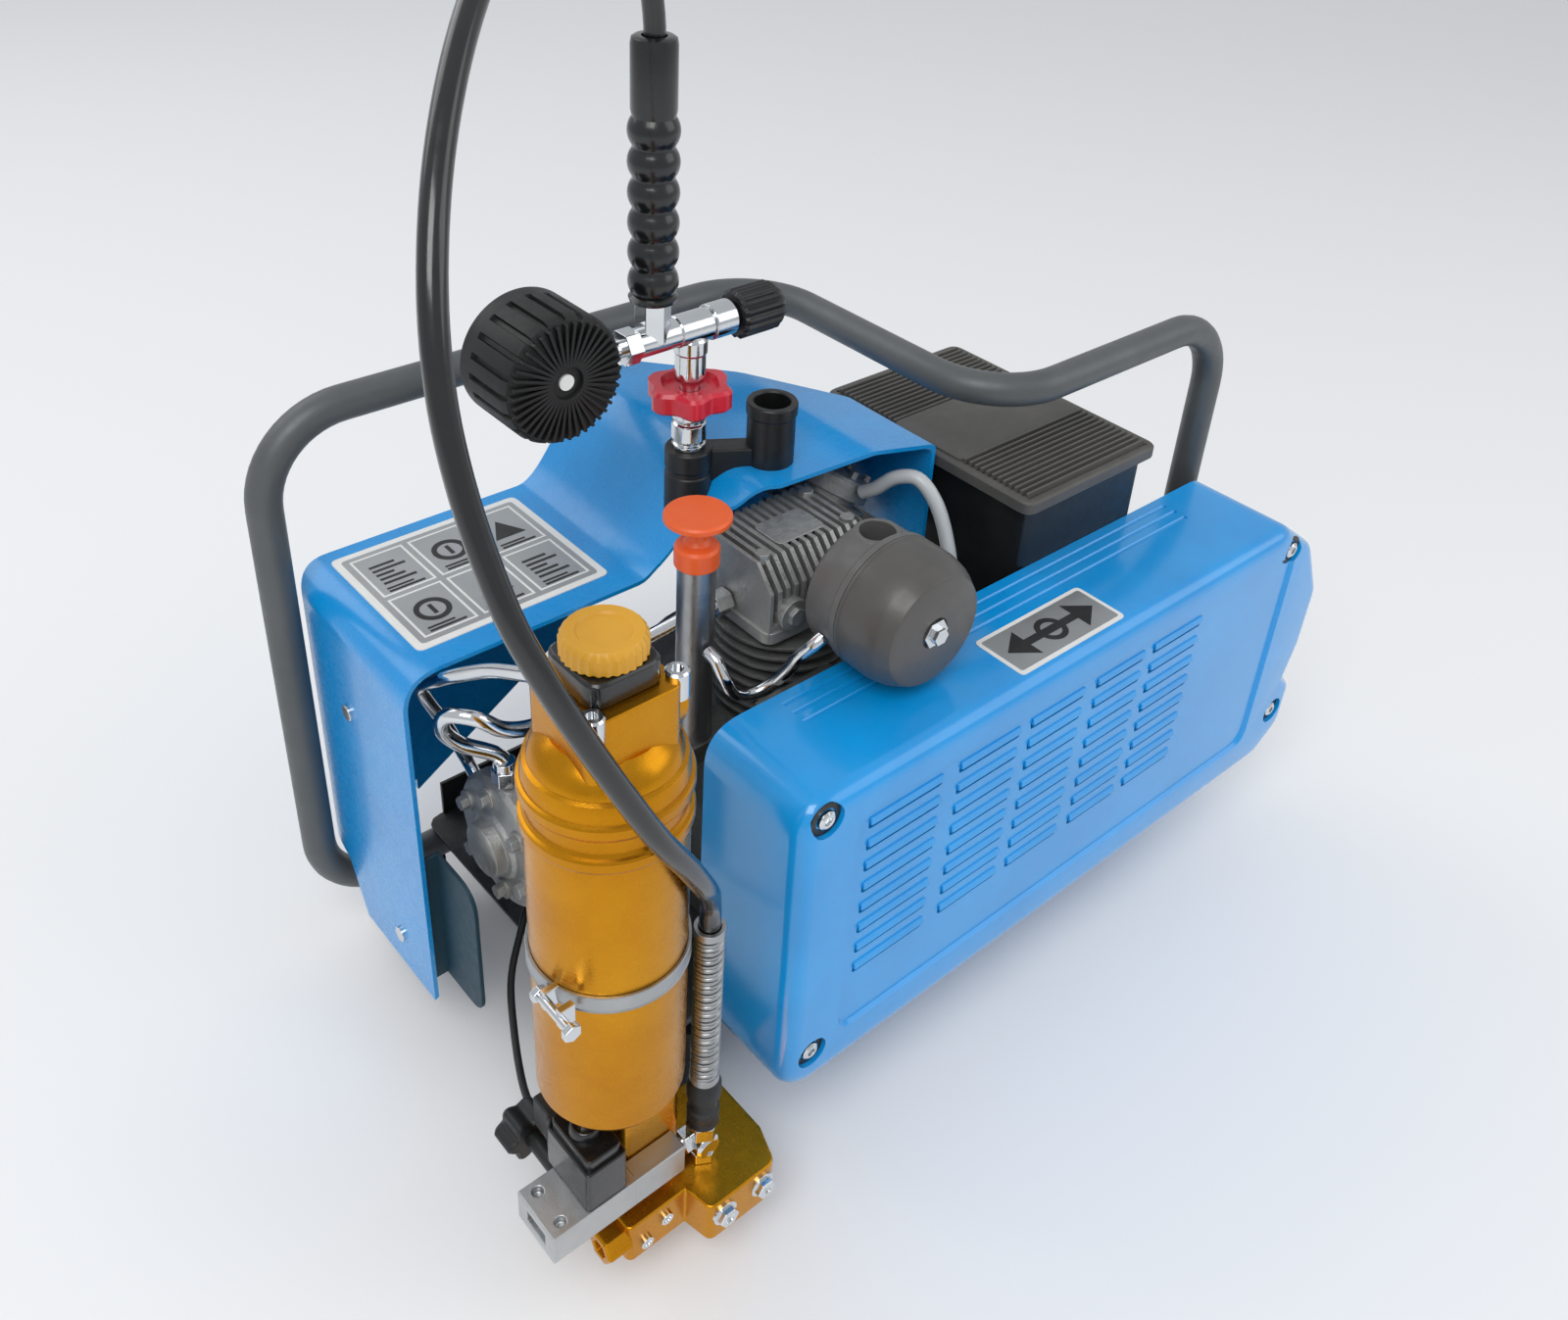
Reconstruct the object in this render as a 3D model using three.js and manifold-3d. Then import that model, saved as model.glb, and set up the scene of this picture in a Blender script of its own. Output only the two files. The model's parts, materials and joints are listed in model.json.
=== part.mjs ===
// Portable electric breathing-air compressor: bent-tube carry frame, belt guard, fan cowl,
// three-cylinder
// block, motor with control box, filter tower and a fill hose whose valve is parked on the cowl.
// Millimetres, +Z up, -Y is the belt-guard side, -X is the filter end, the floor is z = 0.
import * as THREE from 'three';
import { mergeVertices } from 'three/addons/utils/BufferGeometryUtils.js';
import Module from 'manifold-3d';

const wasm = await Module();
wasm.setup();

// ---- driving dimensions -------------------------------------------------------------------------
const gap = 0.3; // play between touching pieces
const origin = { x: 9.5, y: -27.5 }; // middle of the footprint, in the layout below
const frame = { r: 11, left: -310, right: 310, rear: 150, front: -83, jog: 68, top: 434, bottom: 53,
  bend: 55 };
const frameSpan = frame.right - frame.left;
const plate = { t: 3, left: -225, right: 285, front: -100, rear: 161.4, rim: 33 };
const foot = { r: 16, top: frame.bottom - frame.r - gap };
const guard = { left: -178, right: 358, front: -191, rear: -106, bottom: 76, top: 314, wall: 3,
  soft: 12 };
const guardScrew = { r: 6, head: 3.5, shank: 3, seat: guard.front + guard.wall + 1 };
const crank = { x: -62, z: 190, r: 12, caseR: 62, front: -90, rear: 62 };
const flywheel = { r: 98, w: 24, y: -150, hub: 24 };
const pulley = { r: 34, w: 24, hub: 20 };
const belt = { w: 11, t: 8 };
const motor = { x: 186, z: 158, r: 66, shaftR: 9, front: -88, rear: 140 };
const box = { left: 86, right: 211, front: guard.rear + gap, rear: 77, bottom: 245, top: 361, wall: 3 };
const lid = { over: 6, t: 13, lip: 4 };
const head1 = { x: crank.x, y: -40, w: 84, d: 66, z0: 322, z1: 372, fins: 9 };
const cowl = { left: -296, right: 75, rear: 165, low: 324, high: head1.z1 + 20, wall: 3, rampFrom: -130,
  rampTo: -62 };
const cyl1 = { r: 47, z0: 254, fins: 4 };
const cyl2 = { y: 30, tilt: 34, r: 34, from: 104, length: 62, fins: 5 };
const cyl3 = { y: 8, r: 36, from: 66, length: 100, fins: 5, discR: 46, discT: 18, drop: 8 };
const drumR = 43;
const intake = { x: -56, z: guard.top + 3 + drumR, r: drumR, front: -160, rear: -90, boltR: 7 };
const filler = { x: -138, y: -45, r: 11.5, top: 378, bottom: 250 };
const filter = { x: -280, y: -158, r: 40.5, bottom: 160, top: 395 };
const filterHead = { top: 437, w: 52, collar: 14 };
const filterCap = { r: 20.5, t: 12 };
const hose = { r: 6, x: -234, y: -183 };
const valve = { x: -88, y: 28, z: 486, hoseX: -116 };
const wheel = { r: 27, t: 14, z: 443 };
const grip = { r: 14.5, waist: 12, z0: 510, z1: 658 };
const gauge = { x: -190, z: valve.z + 3, r: 38, y0: 3, y1: 53, stemR: 5.5 };
const socket = { x: -42, y: 4, r: 15.3, bore: 11.5, top: 434 };
const postTop = 406;
const backplate = { front: -104.6, t: 2.5 };
const pipeR = 4.2;
const manifold = { z0: 40, z1: 72, left: -296, right: -196, front: -196, nose: -215, rear: -140 };
const column = { left: -288, right: -248, front: -180, rear: -136 };
const bar = { left: -343, front: -194, rear: -158, z0: 88, z1: 110 };
const drain = { x: -315, z: 99, r: 16, from: -130, to: -112 };
const dial = { r: gauge.r - 12, face: gauge.y1 - 14 };

// ---- helpers ------------------------------------------------------------------------------------
function solid(geometry) {
  const g = geometry.clone();
  g.deleteAttribute('normal');
  g.deleteAttribute('uv');
  const m = mergeVertices(g, 1e-4);
  const p = m.attributes.position.array;
  const idx = m.index.array;
  const tri = [];
  let volume = 0;
  for (let i = 0; i < idx.length; i += 3) {
    const [a, b, c] = [idx[i], idx[i + 1], idx[i + 2]];
    if (a === b || b === c || a === c) continue;
    tri.push(a, b, c);
    const v = [a, b, c].map((k) => new THREE.Vector3(p[3 * k], p[3 * k + 1], p[3 * k + 2]));
    volume += v[0].dot(v[1].cross(v[2])) / 6;
  }
  if (volume < 0) for (let i = 0; i < tri.length; i += 3) [tri[i], tri[i + 1]] = [tri[i + 1], tri[i]];
  return new wasm.Manifold(
    new wasm.Mesh({ numProp: 3, vertProperties: new Float32Array(p), triVerts: new Uint32Array(tri) }),
  );
}

const half = (n) => n / 2;

const join = (first, ...more) => more.reduce((a, b) => a.add(b), first);
const cut = (first, ...tools) => tools.reduce((a, b) => a.subtract(b), first);

function block(x0, x1, y0, y1, z0, z1) {
  const g = new THREE.BoxGeometry(x1 - x0, y1 - y0, z1 - z0);
  return solid(g.translate((x0 + x1) / 2, (y0 + y1) / 2, (z0 + z1) / 2));
}

function turn(g, axis) {
  if (axis === 'x') g.rotateZ(-Math.PI / 2);
  if (axis === 'z') g.rotateX(Math.PI / 2);
  return g;
}

// A round bar from a to b along an axis, its other two coordinates in at.
function rod(axis, r, a, b, at, sides = 24) {
  const g = turn(new THREE.CylinderGeometry(r, r, b - a, sides), axis);
  return solid(place(g, axis, (a + b) / 2, at));
}

function place(g, axis, along, at) {
  if (axis === 'x') return g.translate(along, at[0], at[1]);
  if (axis === 'y') return g.translate(at[0], along, at[1]);
  return g.translate(at[0], at[1], along);
}

// A turned piece: profile is [radius, place along the axis] pairs, from the axis back to the axis.
function turned(axis, profile, at, sides = 24) {
  const g = turn(new THREE.LatheGeometry(profile.map(([r, h]) => new THREE.Vector2(r, h)), sides),
    axis);
  return solid(place(g, axis, 0, at));
}

// A flat outline pushed along an axis from a to b: [x, y] for z, [x, z] for y, [y, z] for x.
function prism(axis, outline, a, b) {
  const shape = new THREE.Shape(outline.map(([u, v]) => new THREE.Vector2(u, v)));
  const g = new THREE.ExtrudeGeometry(shape, { depth: b - a, bevelEnabled: false });
  if (axis === 'z') g.translate(0, 0, a);
  if (axis === 'y') g.rotateX(Math.PI / 2).translate(0, b, 0);
  if (axis === 'x') {
    g.applyMatrix4(
      new THREE.Matrix4().makeBasis(new THREE.Vector3(0, 1, 0), new THREE.Vector3(0, 0, 1),
        new THREE.Vector3(1, 0, 0)),
    ).translate(a, 0, 0);
  }
  return solid(g);
}

// The outline with each corner rounded; a corner is [u, v, radius].
function rounded(corners, steps = 3) {
  const out = [];
  corners.forEach(([u, v, r = 0], i) => {
    const here = new THREE.Vector2(u, v);
    if (!r) {
      out.push([u, v]);
      return;
    }
    const [pu, pv] = corners[(i + corners.length - 1) % corners.length];
    const [nu, nv] = corners[(i + 1) % corners.length];
    const to = new THREE.Vector2(pu, pv).sub(here).normalize();
    const on = new THREE.Vector2(nu, nv).sub(here).normalize();
    const half = Math.acos(THREE.MathUtils.clamp(to.dot(on), -1, 1)) / 2;
    const back = r / Math.tan(half);
    const a = here.clone().addScaledVector(to, back);
    const b = here.clone().addScaledVector(on, back);
    const arc = new THREE.QuadraticBezierCurve(a, here, b);
    arc.getPoints(steps).forEach((p) => out.push([p.x, p.y]));
  });
  return out;
}

const rectangle = (u0, u1, v0, v1, r = 0) => [[u0, v0, r], [u1, v0, r], [u1, v1, r], [u0, v1, r]];

class Route extends THREE.Curve {
  constructor(stations) {
    super();
    this.stations = stations;
  }
  getPoint(t, target = new THREE.Vector3()) {
    const k = t * (this.stations.length - 1);
    const i = Math.min(Math.floor(k), this.stations.length - 2);
    return target.lerpVectors(this.stations[i], this.stations[i + 1], k - i);
  }
  getPointAt(u, target) {
    return this.getPoint(u, target);
  }
  getTangent(t, target = new THREE.Vector3()) {
    const i = Math.round(t * (this.stations.length - 1));
    const [a, b] = [this.stations[i - 1], this.stations[i + 1]];
    const here = this.stations[i];
    target.set(0, 0, 0);
    if (a) target.add(here.clone().sub(a).normalize());
    if (b) target.add(b.clone().sub(here).normalize());
    return target.normalize();
  }
  getTangentAt(u, target) {
    return this.getTangent(u, target);
  }
}

function tubeAlong(stations, r, sides) {
  const shape = new THREE.Shape(
    Array.from({ length: sides }, (_, i) => {
      const a = (2 * Math.PI * i) / sides;
      return new THREE.Vector2(r * Math.cos(a), r * Math.sin(a));
    }),
  );
  const extrudePath = new Route(stations);
  return solid(new THREE.ExtrudeGeometry(shape,
    { steps: stations.length - 1, bevelEnabled: false, extrudePath }));
}

// Straight runs joined by round bends of one radius; each corner is [x, y, z].
function bent(corners, bend, steps = 5) {
  const p = corners.map((c) => new THREE.Vector3(...c));
  const out = [p[0]];
  for (let i = 1; i < p.length - 1; i += 1) {
    const to = p[i - 1].clone().sub(p[i]).normalize();
    const on = p[i + 1].clone().sub(p[i]).normalize();
    const half = to.angleTo(on) / 2;
    const back = bend / Math.tan(half);
    const middle = to.clone().add(on).normalize().multiplyScalar(bend / Math.sin(half)).add(p[i]);
    const a = p[i].clone().addScaledVector(to, back).sub(middle);
    const b = p[i].clone().addScaledVector(on, back).sub(middle);
    const swing = a.angleTo(b);
    for (let k = 0; k <= steps; k += 1) {
      const t = k / steps;
      const v = a.clone().multiplyScalar(Math.sin((1 - t) * swing) / Math.sin(swing));
      out.push(v.addScaledVector(b, Math.sin(t * swing) / Math.sin(swing)).add(middle));
    }
  }
  out.push(p[p.length - 1]);
  return out;
}

// A smooth line through hand-set points; its first and last stretches stay straight, for the joints
// there.
function smooth(points, steps) {
  const p = points.map((c) => new THREE.Vector3(...c));
  const curve = new THREE.CatmullRomCurve3(p.slice(1, -1), false, 'centripetal');
  return [p[0], ...curve.getSpacedPoints(steps - 2), p[p.length - 1]];
}

// A disc with rounded lobes round its rim.
function lobes(count, r, depth, steps = 6) {
  return Array.from({ length: count * steps }, (_, i) => {
    const a = (2 * Math.PI * i) / (count * steps);
    const q = r - depth * (0.5 - 0.5 * Math.cos(count * a));
    return [q * Math.cos(a), q * Math.sin(a)];
  });
}

const moved = (outline, u, v) => outline.map(([a, b]) => [a + u, b + v]);

// ---- frame, plate and feet ----------------------------------------------------------------------
function carryFrame() {
  const { left, right, rear, front, jog, top, bottom, bend, r } = frame;
  const corners = [
    [left + frameSpan * 0.92, rear, bottom], [left, rear, bottom], [left, rear, top], [jog, rear, top],
    [jog, front, top], [right, front, top], [right, front, bottom],
    [right - frameSpan * 0.81, front, bottom],
  ];
  return tubeAlong(bent(corners, bend, 4), r, 10);
}

const plateTop = frame.bottom + frame.r + gap + plate.t;

function basePlate() {
  const z0 = plateTop - plate.t;
  const flat = prism('z', rounded(rectangle(plate.left, plate.right, plate.front, plate.rear, 12)),
    z0, plateTop);
  const rim = block(plate.left + 14, plate.right - 14, plate.rear - plate.t, plate.rear, z0,
    z0 + plate.rim);
  const stay = join(
    block(plate.left, plate.left + 26, manifold.rear + gap, plate.front + 6, z0, plateTop),
    block(plate.left, plate.left + 26, manifold.rear + gap, manifold.rear + gap + plate.t,
      manifold.z0 + 4, plateTop),
  );
  const bendRoom = block(frame.right - frame.bend - 4, plate.right + 1, plate.front - 1,
    frame.front + 2 * frame.r,
    z0 - 1, plateTop + 1);
  return cut(join(flat, rim, stay), bendRoom);
}

const feetAt = {
  foot_rear_left: [-235, frame.rear],
  foot_rear_right: [225, frame.rear],
  foot_front_left: [-165, frame.front],
  foot_front_right: [238, frame.front],
};

function rubberFoot([x, y]) {
  const { r, top } = foot;
  return turned('z', [[0, 0], [r, 0], [r, 4], [r - 3.5, 9], [r - 3.5, top - 8], [r, top - 4],
    [r, top], [0, top]], [x, y], 16);
}

// ---- belt guard ---------------------------------------------------------------------------------
const guardOutline = (inset) => rounded([
  [guard.left + inset, guard.bottom + inset, 26 - inset],
  [guard.right - 22 - inset, guard.bottom + inset, 18],
  [guard.right + 4 - inset, guard.bottom + 28, 16],
  [guard.right + 4 - inset, guard.bottom + 62, 8],
  [guard.right - 10 - inset, guard.bottom + 76, 8],
  [guard.right - 1 - inset, guard.bottom + 110, 14],
  [guard.right - inset, guard.top - 80, 20],
  [guard.right - 28 - inset, guard.top - 30, 22],
  [guard.right - 70 - inset, guard.top - inset, 24],
  [guard.left + inset, guard.top - inset, 26 - inset],
]);

const guardScrews = {
  guard_screw_1: [-160, 300],
  guard_screw_2: [-156, 106],
  guard_screw_3: [296, 292],
  guard_screw_4: [338, 122],
};

function beltGuard() {
  const { front, rear, wall, soft } = guard;
  const shell = join(
    prism('y', guardOutline(0), front + soft, rear),
    prism('y', guardOutline(4), front + 4, front + soft),
    prism('y', guardOutline(soft), front, front + 4),
  );
  const hollow = prism('y', guardOutline(wall), front + soft + 1, rear + 1);
  const core = prism('y', guardOutline(soft + 3), front + wall, front + soft + 2);
  const at = Object.values(guardScrews);
  const wells = at.map((p) => rod('y', 11, front - 1, guardScrew.seat, p, 12));
  const seats = at.map((p) => rod('y', 13, front + wall, front + soft, p, 12));
  const holes = at.map((p) => rod('y', guardScrew.shank + gap, front, front + soft + 2, p, 12));
  return cut(join(cut(shell, hollow, core), ...seats), ...wells, ...louvres(), ...holes);
}

function louvres() {
  const out = [];
  for (let g = 0; g < 5; g += 1) {
    for (let k = 0; k < 5; k += 1) {
      const x = -112 + g * 66 + k * 1.5;
      const z = 264 - k * 22;
      out.push(block(x, x + 42, guard.front - 1, guard.front + guard.wall + 1, z, z + 6));
    }
  }
  return out;
}

function screw([x, z]) {
  const { r, head, shank, seat } = guardScrew;
  const body = turned('y', [
    [0, seat - head], [r - 1.5, seat - head], [r, seat - head + 1.5], [r, seat - gap],
    [shank, seat - gap],
    [shank, seat + 22], [0, seat + 22],
  ], [x, z], 12);
  return cut(body, rod('y', 2.6, seat - head - 1, seat - 1, [x, z], 6));
}

function guardBackplate() {
  const y0 = backplate.front;
  const y1 = y0 + backplate.t;
  const shelf = box.bottom - 4;
  const sheet = prism('y', rounded([
    [guard.left + 12, 84, 16], [336, 84, 20], [346, 190, 20], [336, 270, 16], [300, 302, 12],
    [box.right + 7, 302, 6], [box.right + 7, shelf, 6], [box.left - 7, shelf, 6],
    [box.left - 7, 302, 6],
    [guard.left + 12, 302, 16],
  ]), y0, y1);
  const at = Object.values(guardScrews);
  const start = guard.front + guard.soft + 1 + gap;
  const posts = at.map(([x, z]) => rod('y', 8, start, y0 + 1, [x, z - (z > 200 ? 5 : 0)], 8));
  const threads = at.map((p) => rod('y', guardScrew.shank + gap, guard.front, guard.front + 32, p, 12));
  const tabs = [-120, 60, 240].map((x) => block(x - 14, x + 14, y0, plate.front + 8, plateTop + gap,
    70.6));
  const webs = [-120, 60, 240].map((x) => block(x - 14, x + 14, y0, y1, plateTop + gap, 90));
  const shaft = rod('y', 46, y0 - 1, y1 + 1, [crank.x, crank.z], 24);
  const vents = [20, 110, 160, 250].map((a) => {
    const rad = THREE.MathUtils.degToRad(a + 30);
    return rod('y', 21, y0 - 1, y1 + 1,
      [crank.x + 72 * Math.cos(rad), crank.z + 72 * Math.sin(rad)], 10);
  });
  const motorHole = rod('y', 42, y0 - 1, y1 + 1, [motor.x, motor.z], 24);
  return cut(join(sheet, ...posts, ...tabs, ...webs), shaft, ...vents, motorHole, ...threads);
}

// ---- compressor block ---------------------------------------------------------------------------
function crankcase() {
  const { x, z, caseR, front, rear } = crank;
  const drum = rod('y', caseR, front + 10, rear, [x, z], 24);
  const flange = prism('y', rounded(rectangle(x - 64, x + 64, z - 64, z + 60, 14)), front, front + 10);
  const ear = prism('y', [[x - 66, z + 40], [x, z + 40], [x + 2, z + 98], [x - 8, z + 112],
    [x - 66, z + 110]],
    front - 5, front - 1);
  const earFoot = block(x - 60, x, front - 2, front + 1, z + 42, z + 58);
  const foundation = block(x - 58, x + 58, front + 24, rear - 14, plateTop + gap, z);
  const topPad = rod('z', 42, z, cyl1.z0 - gap, [head1.x, head1.y], 24);
  const leftPad = rod('x', 30, x - cyl3.from + gap, x, [cyl3.y, z - cyl3.drop], 20);
  const rightPad = tilted(rod('z', 28, 20, cyl2.from - gap, [0, 0], 20));
  const fillerBoss = prism('z', rounded(rectangle(filler.x - 15, x - 30, filler.y - 13,
    filler.y + 13, 6)),
    filler.bottom - 14, filler.bottom - gap);
  const fillerLeg = block(x - 62, x - 30, filler.y - 12, filler.y + 12, z, filler.bottom - 4);
  const bore = rod('y', crank.r + gap, front - 1, rear - 12, [x, z], 24);
  return cut(join(drum, flange, ear, earFoot, foundation, topPad, leftPad, rightPad, fillerBoss,
    fillerLeg), bore);
}

// Leans an upright piece built round the crank's axis over to the second cylinder's angle.
function tilted(piece) {
  const mesh = fromManifold(piece);
  mesh.rotateY(THREE.MathUtils.degToRad(cyl2.tilt)).translate(crank.x, cyl2.y, crank.z);
  return solid(mesh);
}

// A finned barrel's profile: fin and groove turn by turn between a and b.
function fins(coreR, finR, a, b, count) {
  const pitch = (b - a) / count;
  const out = [[0, a]];
  for (let i = 0; i < count; i += 1) {
    const h = a + i * pitch;
    out.push([finR, h], [finR, h + pitch * 0.42], [coreR, h + pitch * 0.5], [coreR, h + pitch * 0.96]);
  }
  out.push([finR, b - 0.1], [finR, b + 5], [0, b + 5]);
  return out;
}

function cylinder1() {
  return turned('z', fins(32, cyl1.r, cyl1.z0, head1.z0 - 8, cyl1.fins), [head1.x, head1.y], 16);
}

function headBlock() {
  const { x, y, w, d, z0, z1, fins: count } = head1;
  const body = prism('x', [
    [y - half(d), z0], [y + half(d), z0], [y + half(d), z1], [y - half(d) + 14, z1],
    [y - half(d), z1 - 16],
  ], x - half(w), x + half(w));
  const pitch = w / count;
  const slots = [];
  for (let i = 0; i < count; i += 1) {
    const a = x - half(w) + (i + 0.5) * pitch;
    const middle = i > 2 && i < 6;
    slots.push(block(a, a + pitch * 0.5, y - half(d) - 1, middle ? y - 12 : y + half(d) + 1,
      z1 - 28, z1 + 1));
    if (middle) slots.push(block(a, a + pitch * 0.5, y + 12, y + half(d) + 1, z1 - 28, z1 + 1));
  }
  const boss = rod('y', 9, y - half(d) - 4, y, [x - 26, z0 + 15], 16);
  return cut(join(body, boss), ...slots);
}

function cylinder2() {
  return tilted(turned('z', fins(24, cyl2.r, cyl2.from, cyl2.from + cyl2.length, cyl2.fins), [0, 0],
    14));
}

function head2() {
  const a = cyl2.from + cyl2.length + 6;
  const dome = turned('z', [[0, a], [29, a], [29, a + 12], [23, a + 17], [0, a + 17]], [0, 0], 20);
  return tilted(dome);
}

function cylinder3() {
  const a = crank.x - cyl3.from;
  const profile = fins(22, cyl3.r, 0, cyl3.length, cyl3.fins).map(([r, h]) => [r, a - h]);
  return turned('x', profile, [cyl3.y, crank.z - cyl3.drop], 14);
}

function head3() {
  const b = crank.x - cyl3.from - cyl3.length - 7;
  const { discR, discT, y } = cyl3;
  const z = crank.z - cyl3.drop;
  const disc = turned('x', [
    [0, b], [discR, b], [discR, b - discT + 6], [discR - 4, b - discT], [20, b - discT],
    [18, b - discT - 8], [0, b - discT - 8],
  ], [y, z], 28);
  const bolts = [0, 60, 120, 180, 240, 300].map((a) => {
    const rad = THREE.MathUtils.degToRad(a + 20);
    return rod('x', 5, b - discT - 5, b, [y + 35 * Math.cos(rad), z + 35 * Math.sin(rad)], 6);
  });
  return join(disc, ...bolts);
}

function crankshaft() {
  const { x, z, r, rear } = crank;
  const nose = flywheel.y - half(flywheel.w) - 8;
  return turned('y', [[0, nose], [r - 2, nose], [r, nose + 2], [r, rear - 14], [0, rear - 14]],
    [x, z], 24);
}

// A grooved belt pulley on a hub, its rim joined by a thin web.
function grooved(size, y, at, shaftR, web) {
  const w = size.w;
  const y0 = y - half(w);
  const y1 = y + half(w);
  const inner = size.r - belt.t - 0.8;
  const g0 = y - half(belt.w) - 0.6;
  const g1 = y + half(belt.w) + 0.6;
  const body = turned('y', [
    [0, y0], [size.r, y0], [size.r, g0 - 1.5], [inner, g0], [inner, g1], [size.r, g1 + 1.5],
    [size.r, y1], [0, y1],
  ], at, web ? 28 : 16);
  const tools = [rod('y', shaftR + gap, y0 - 1, y1 + 1, at, 24)];
  if (web) {
    const dish = (a, b) => turned('y',
      [[size.hub, a], [inner - 10, a], [inner - 10, b], [size.hub, b], [size.hub, a]], at, 24);
    tools.push(dish(y0 - 1, y - 3), dish(y + 3, y1 + 1));
    for (let i = 0; i < 6; i += 1) {
      const a = (i * Math.PI) / 3;
      tools.push(rod('y', 15, y - 4, y + 4, [at[0] + 50 * Math.cos(a), at[1] + 50 * Math.sin(a)], 10));
    }
  }
  return cut(body, ...tools);
}

// The closed line that a belt takes round two pulleys, at one radius on each.
function beltLine(ra, rb) {
  const [ax, az, bx, bz] = [crank.x, crank.z, motor.x, motor.z];
  const span = Math.hypot(bx - ax, bz - az);
  const lean = Math.atan2(bz - az, bx - ax);
  const open = Math.acos((ra - rb) / span);
  const out = [];
  for (let i = 0; i <= 16; i += 1) {
    const t = lean - open + (2 * open * i) / 16;
    out.push([bx + rb * Math.cos(t), bz + rb * Math.sin(t)]);
  }
  for (let i = 0; i <= 24; i += 1) {
    const t = lean + open + ((2 * Math.PI - 2 * open) * i) / 24;
    out.push([ax + ra * Math.cos(t), az + ra * Math.sin(t)]);
  }
  return out;
}

function driveBelt() {
  const [y0, y1] = [flywheel.y - half(belt.w), flywheel.y + half(belt.w)];
  const outer = prism('y', beltLine(flywheel.r, pulley.r), y0, y1);
  return cut(outer, prism('y', beltLine(flywheel.r - belt.t, pulley.r - belt.t), y0 - 1, y1 + 1));
}

// ---- motor and control box ----------------------------------------------------------------------
function motorBody() {
  const { x, z, r, front, rear } = motor;
  const ribs = Array.from({ length: 14 }, (_, i) => {
    const a = (2 * Math.PI * i) / 14;
    return [[a - 0.07, r], [a + 0.07, r], [a + 0.1, r - 6], [a + 0.34, r - 6]];
  }).flat().map(([a, q]) => [x + q * Math.cos(a), z + q * Math.sin(a)]);
  const barrel = prism('y', ribs, front + 14, rear - 30);
  const nose = turned('y', [[0, front], [34, front], [r - 8, front + 8], [r - 2, front + 14.5],
    [0, front + 14.5]], [x, z], 24);
  const fanCover = turned('y', [[0, rear - 30.5], [r, rear - 30.5], [r, rear - 6], [r - 8, rear],
    [0, rear]], [x, z], 24);
  const saddle = block(x - 50, x + 50, front + 40, rear - 50, plateTop + gap, z - r + 20);
  const pedestal = block(x - 40, x + 40, front + 50, rear - 60, z + r - 10, box.bottom - gap);
  return join(barrel, nose, fanCover, saddle, pedestal);
}

function motorShaft() {
  const nose = flywheel.y - half(pulley.w) - 6;
  return turned('y', [[0, nose], [motor.shaftR, nose], [motor.shaftR, motor.front - gap],
    [0, motor.front - gap]],
    [motor.x, motor.z], 20);
}

const boxOutline = (inset) => rounded(rectangle(box.left + inset, box.right - inset,
  box.front + inset, box.rear - inset, 8), 2);

function controlBox() {
  const shell = prism('z', boxOutline(0), box.bottom, box.top);
  const inside = prism('z', boxOutline(box.wall), box.bottom + box.wall, box.top + 1);
  const glandHole = rod('x', 9, box.right - 6, box.right + 1, [box.rear - 30, box.bottom + 30], 16);
  const switchHole = block(box.right - 6, box.right + 1, -40, -12, box.top - 50, box.top - 28);
  return join(cut(shell, inside, glandHole, switchHole), powerSwitch());
}

function boxLid() {
  const z0 = box.top + gap;
  const edge = rounded(rectangle(
    box.left - lid.over, box.right + lid.over, box.front - lid.over, box.rear + lid.over, 10,
  ), 2);
  const top = prism('z', edge, z0, z0 + lid.t - lid.lip);
  const ribs = [];
  for (let i = 0; i < 5; i += 1) {
    ribs.push(block(box.left + 2, box.right - 2, box.front + 3 + i * 9, box.front + 7 + i * 9,
      z0 + 1, z0 + lid.t - 1));
    ribs.push(block(box.left + 2, box.right - 2, box.rear - 7 - i * 9, box.rear - 3 - i * 9, z0 + 1,
      z0 + lid.t - 1));
  }
  const pad = prism('z', rounded(rectangle(box.left, box.right, box.front + 52, box.rear - 52, 6),
    2), z0 + 1, z0 + lid.t - 2);
  const plug = cut(
    prism('z', boxOutline(box.wall + 0.6), z0 - 8, z0 + 1),
    prism('z', boxOutline(box.wall + 3), z0 - 9, z0 - 0.1),
  );
  return join(top, ...ribs, pad, plug);
}

function powerSwitch() {
  const x = box.right;
  const body = block(x - 18, x, -40, -12, box.top - 50, box.top - 28);
  return join(body, block(x - 1, x + 2, -42, -10, box.top - 52, box.top - 26));
}

function selectorKnob() {
  const x = box.right + 2 + gap;
  const at = [-26, box.top - 39];
  return join(rod('x', 9.5, x, x + 5, at, 20),
    block(x + 4, x + 13, at[0] - 2.5, at[0] + 2.5, at[1] - 9, at[1] + 9));
}

function cableInlet() {
  const at = [box.rear - 30, box.bottom + 30];
  const x = box.right;
  const body = turned('x', [
    [0, x - 12], [8.6, x - 12], [8.6, x + gap], [14, x + gap], [14, x + 7], [11, x + 9],
    [11, x + 20], [8, x + 23], [0, x + 23],
  ], at, 12);
  return cut(body, rod('x', 5, x - 13, x + 24, at, 12));
}

// ---- cowl ---------------------------------------------------------------------------------------
function surfaceZ(x) {
  const t = THREE.MathUtils.clamp((x - cowl.rampFrom) / (cowl.rampTo - cowl.rampFrom), 0, 1);
  const drop = THREE.MathUtils.clamp((x - 20) / (cowl.right - 20), 0, 1);
  return cowl.low + (cowl.high - cowl.low) * t * t * (3 - 2 * t) - 11 * drop;
}

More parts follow.
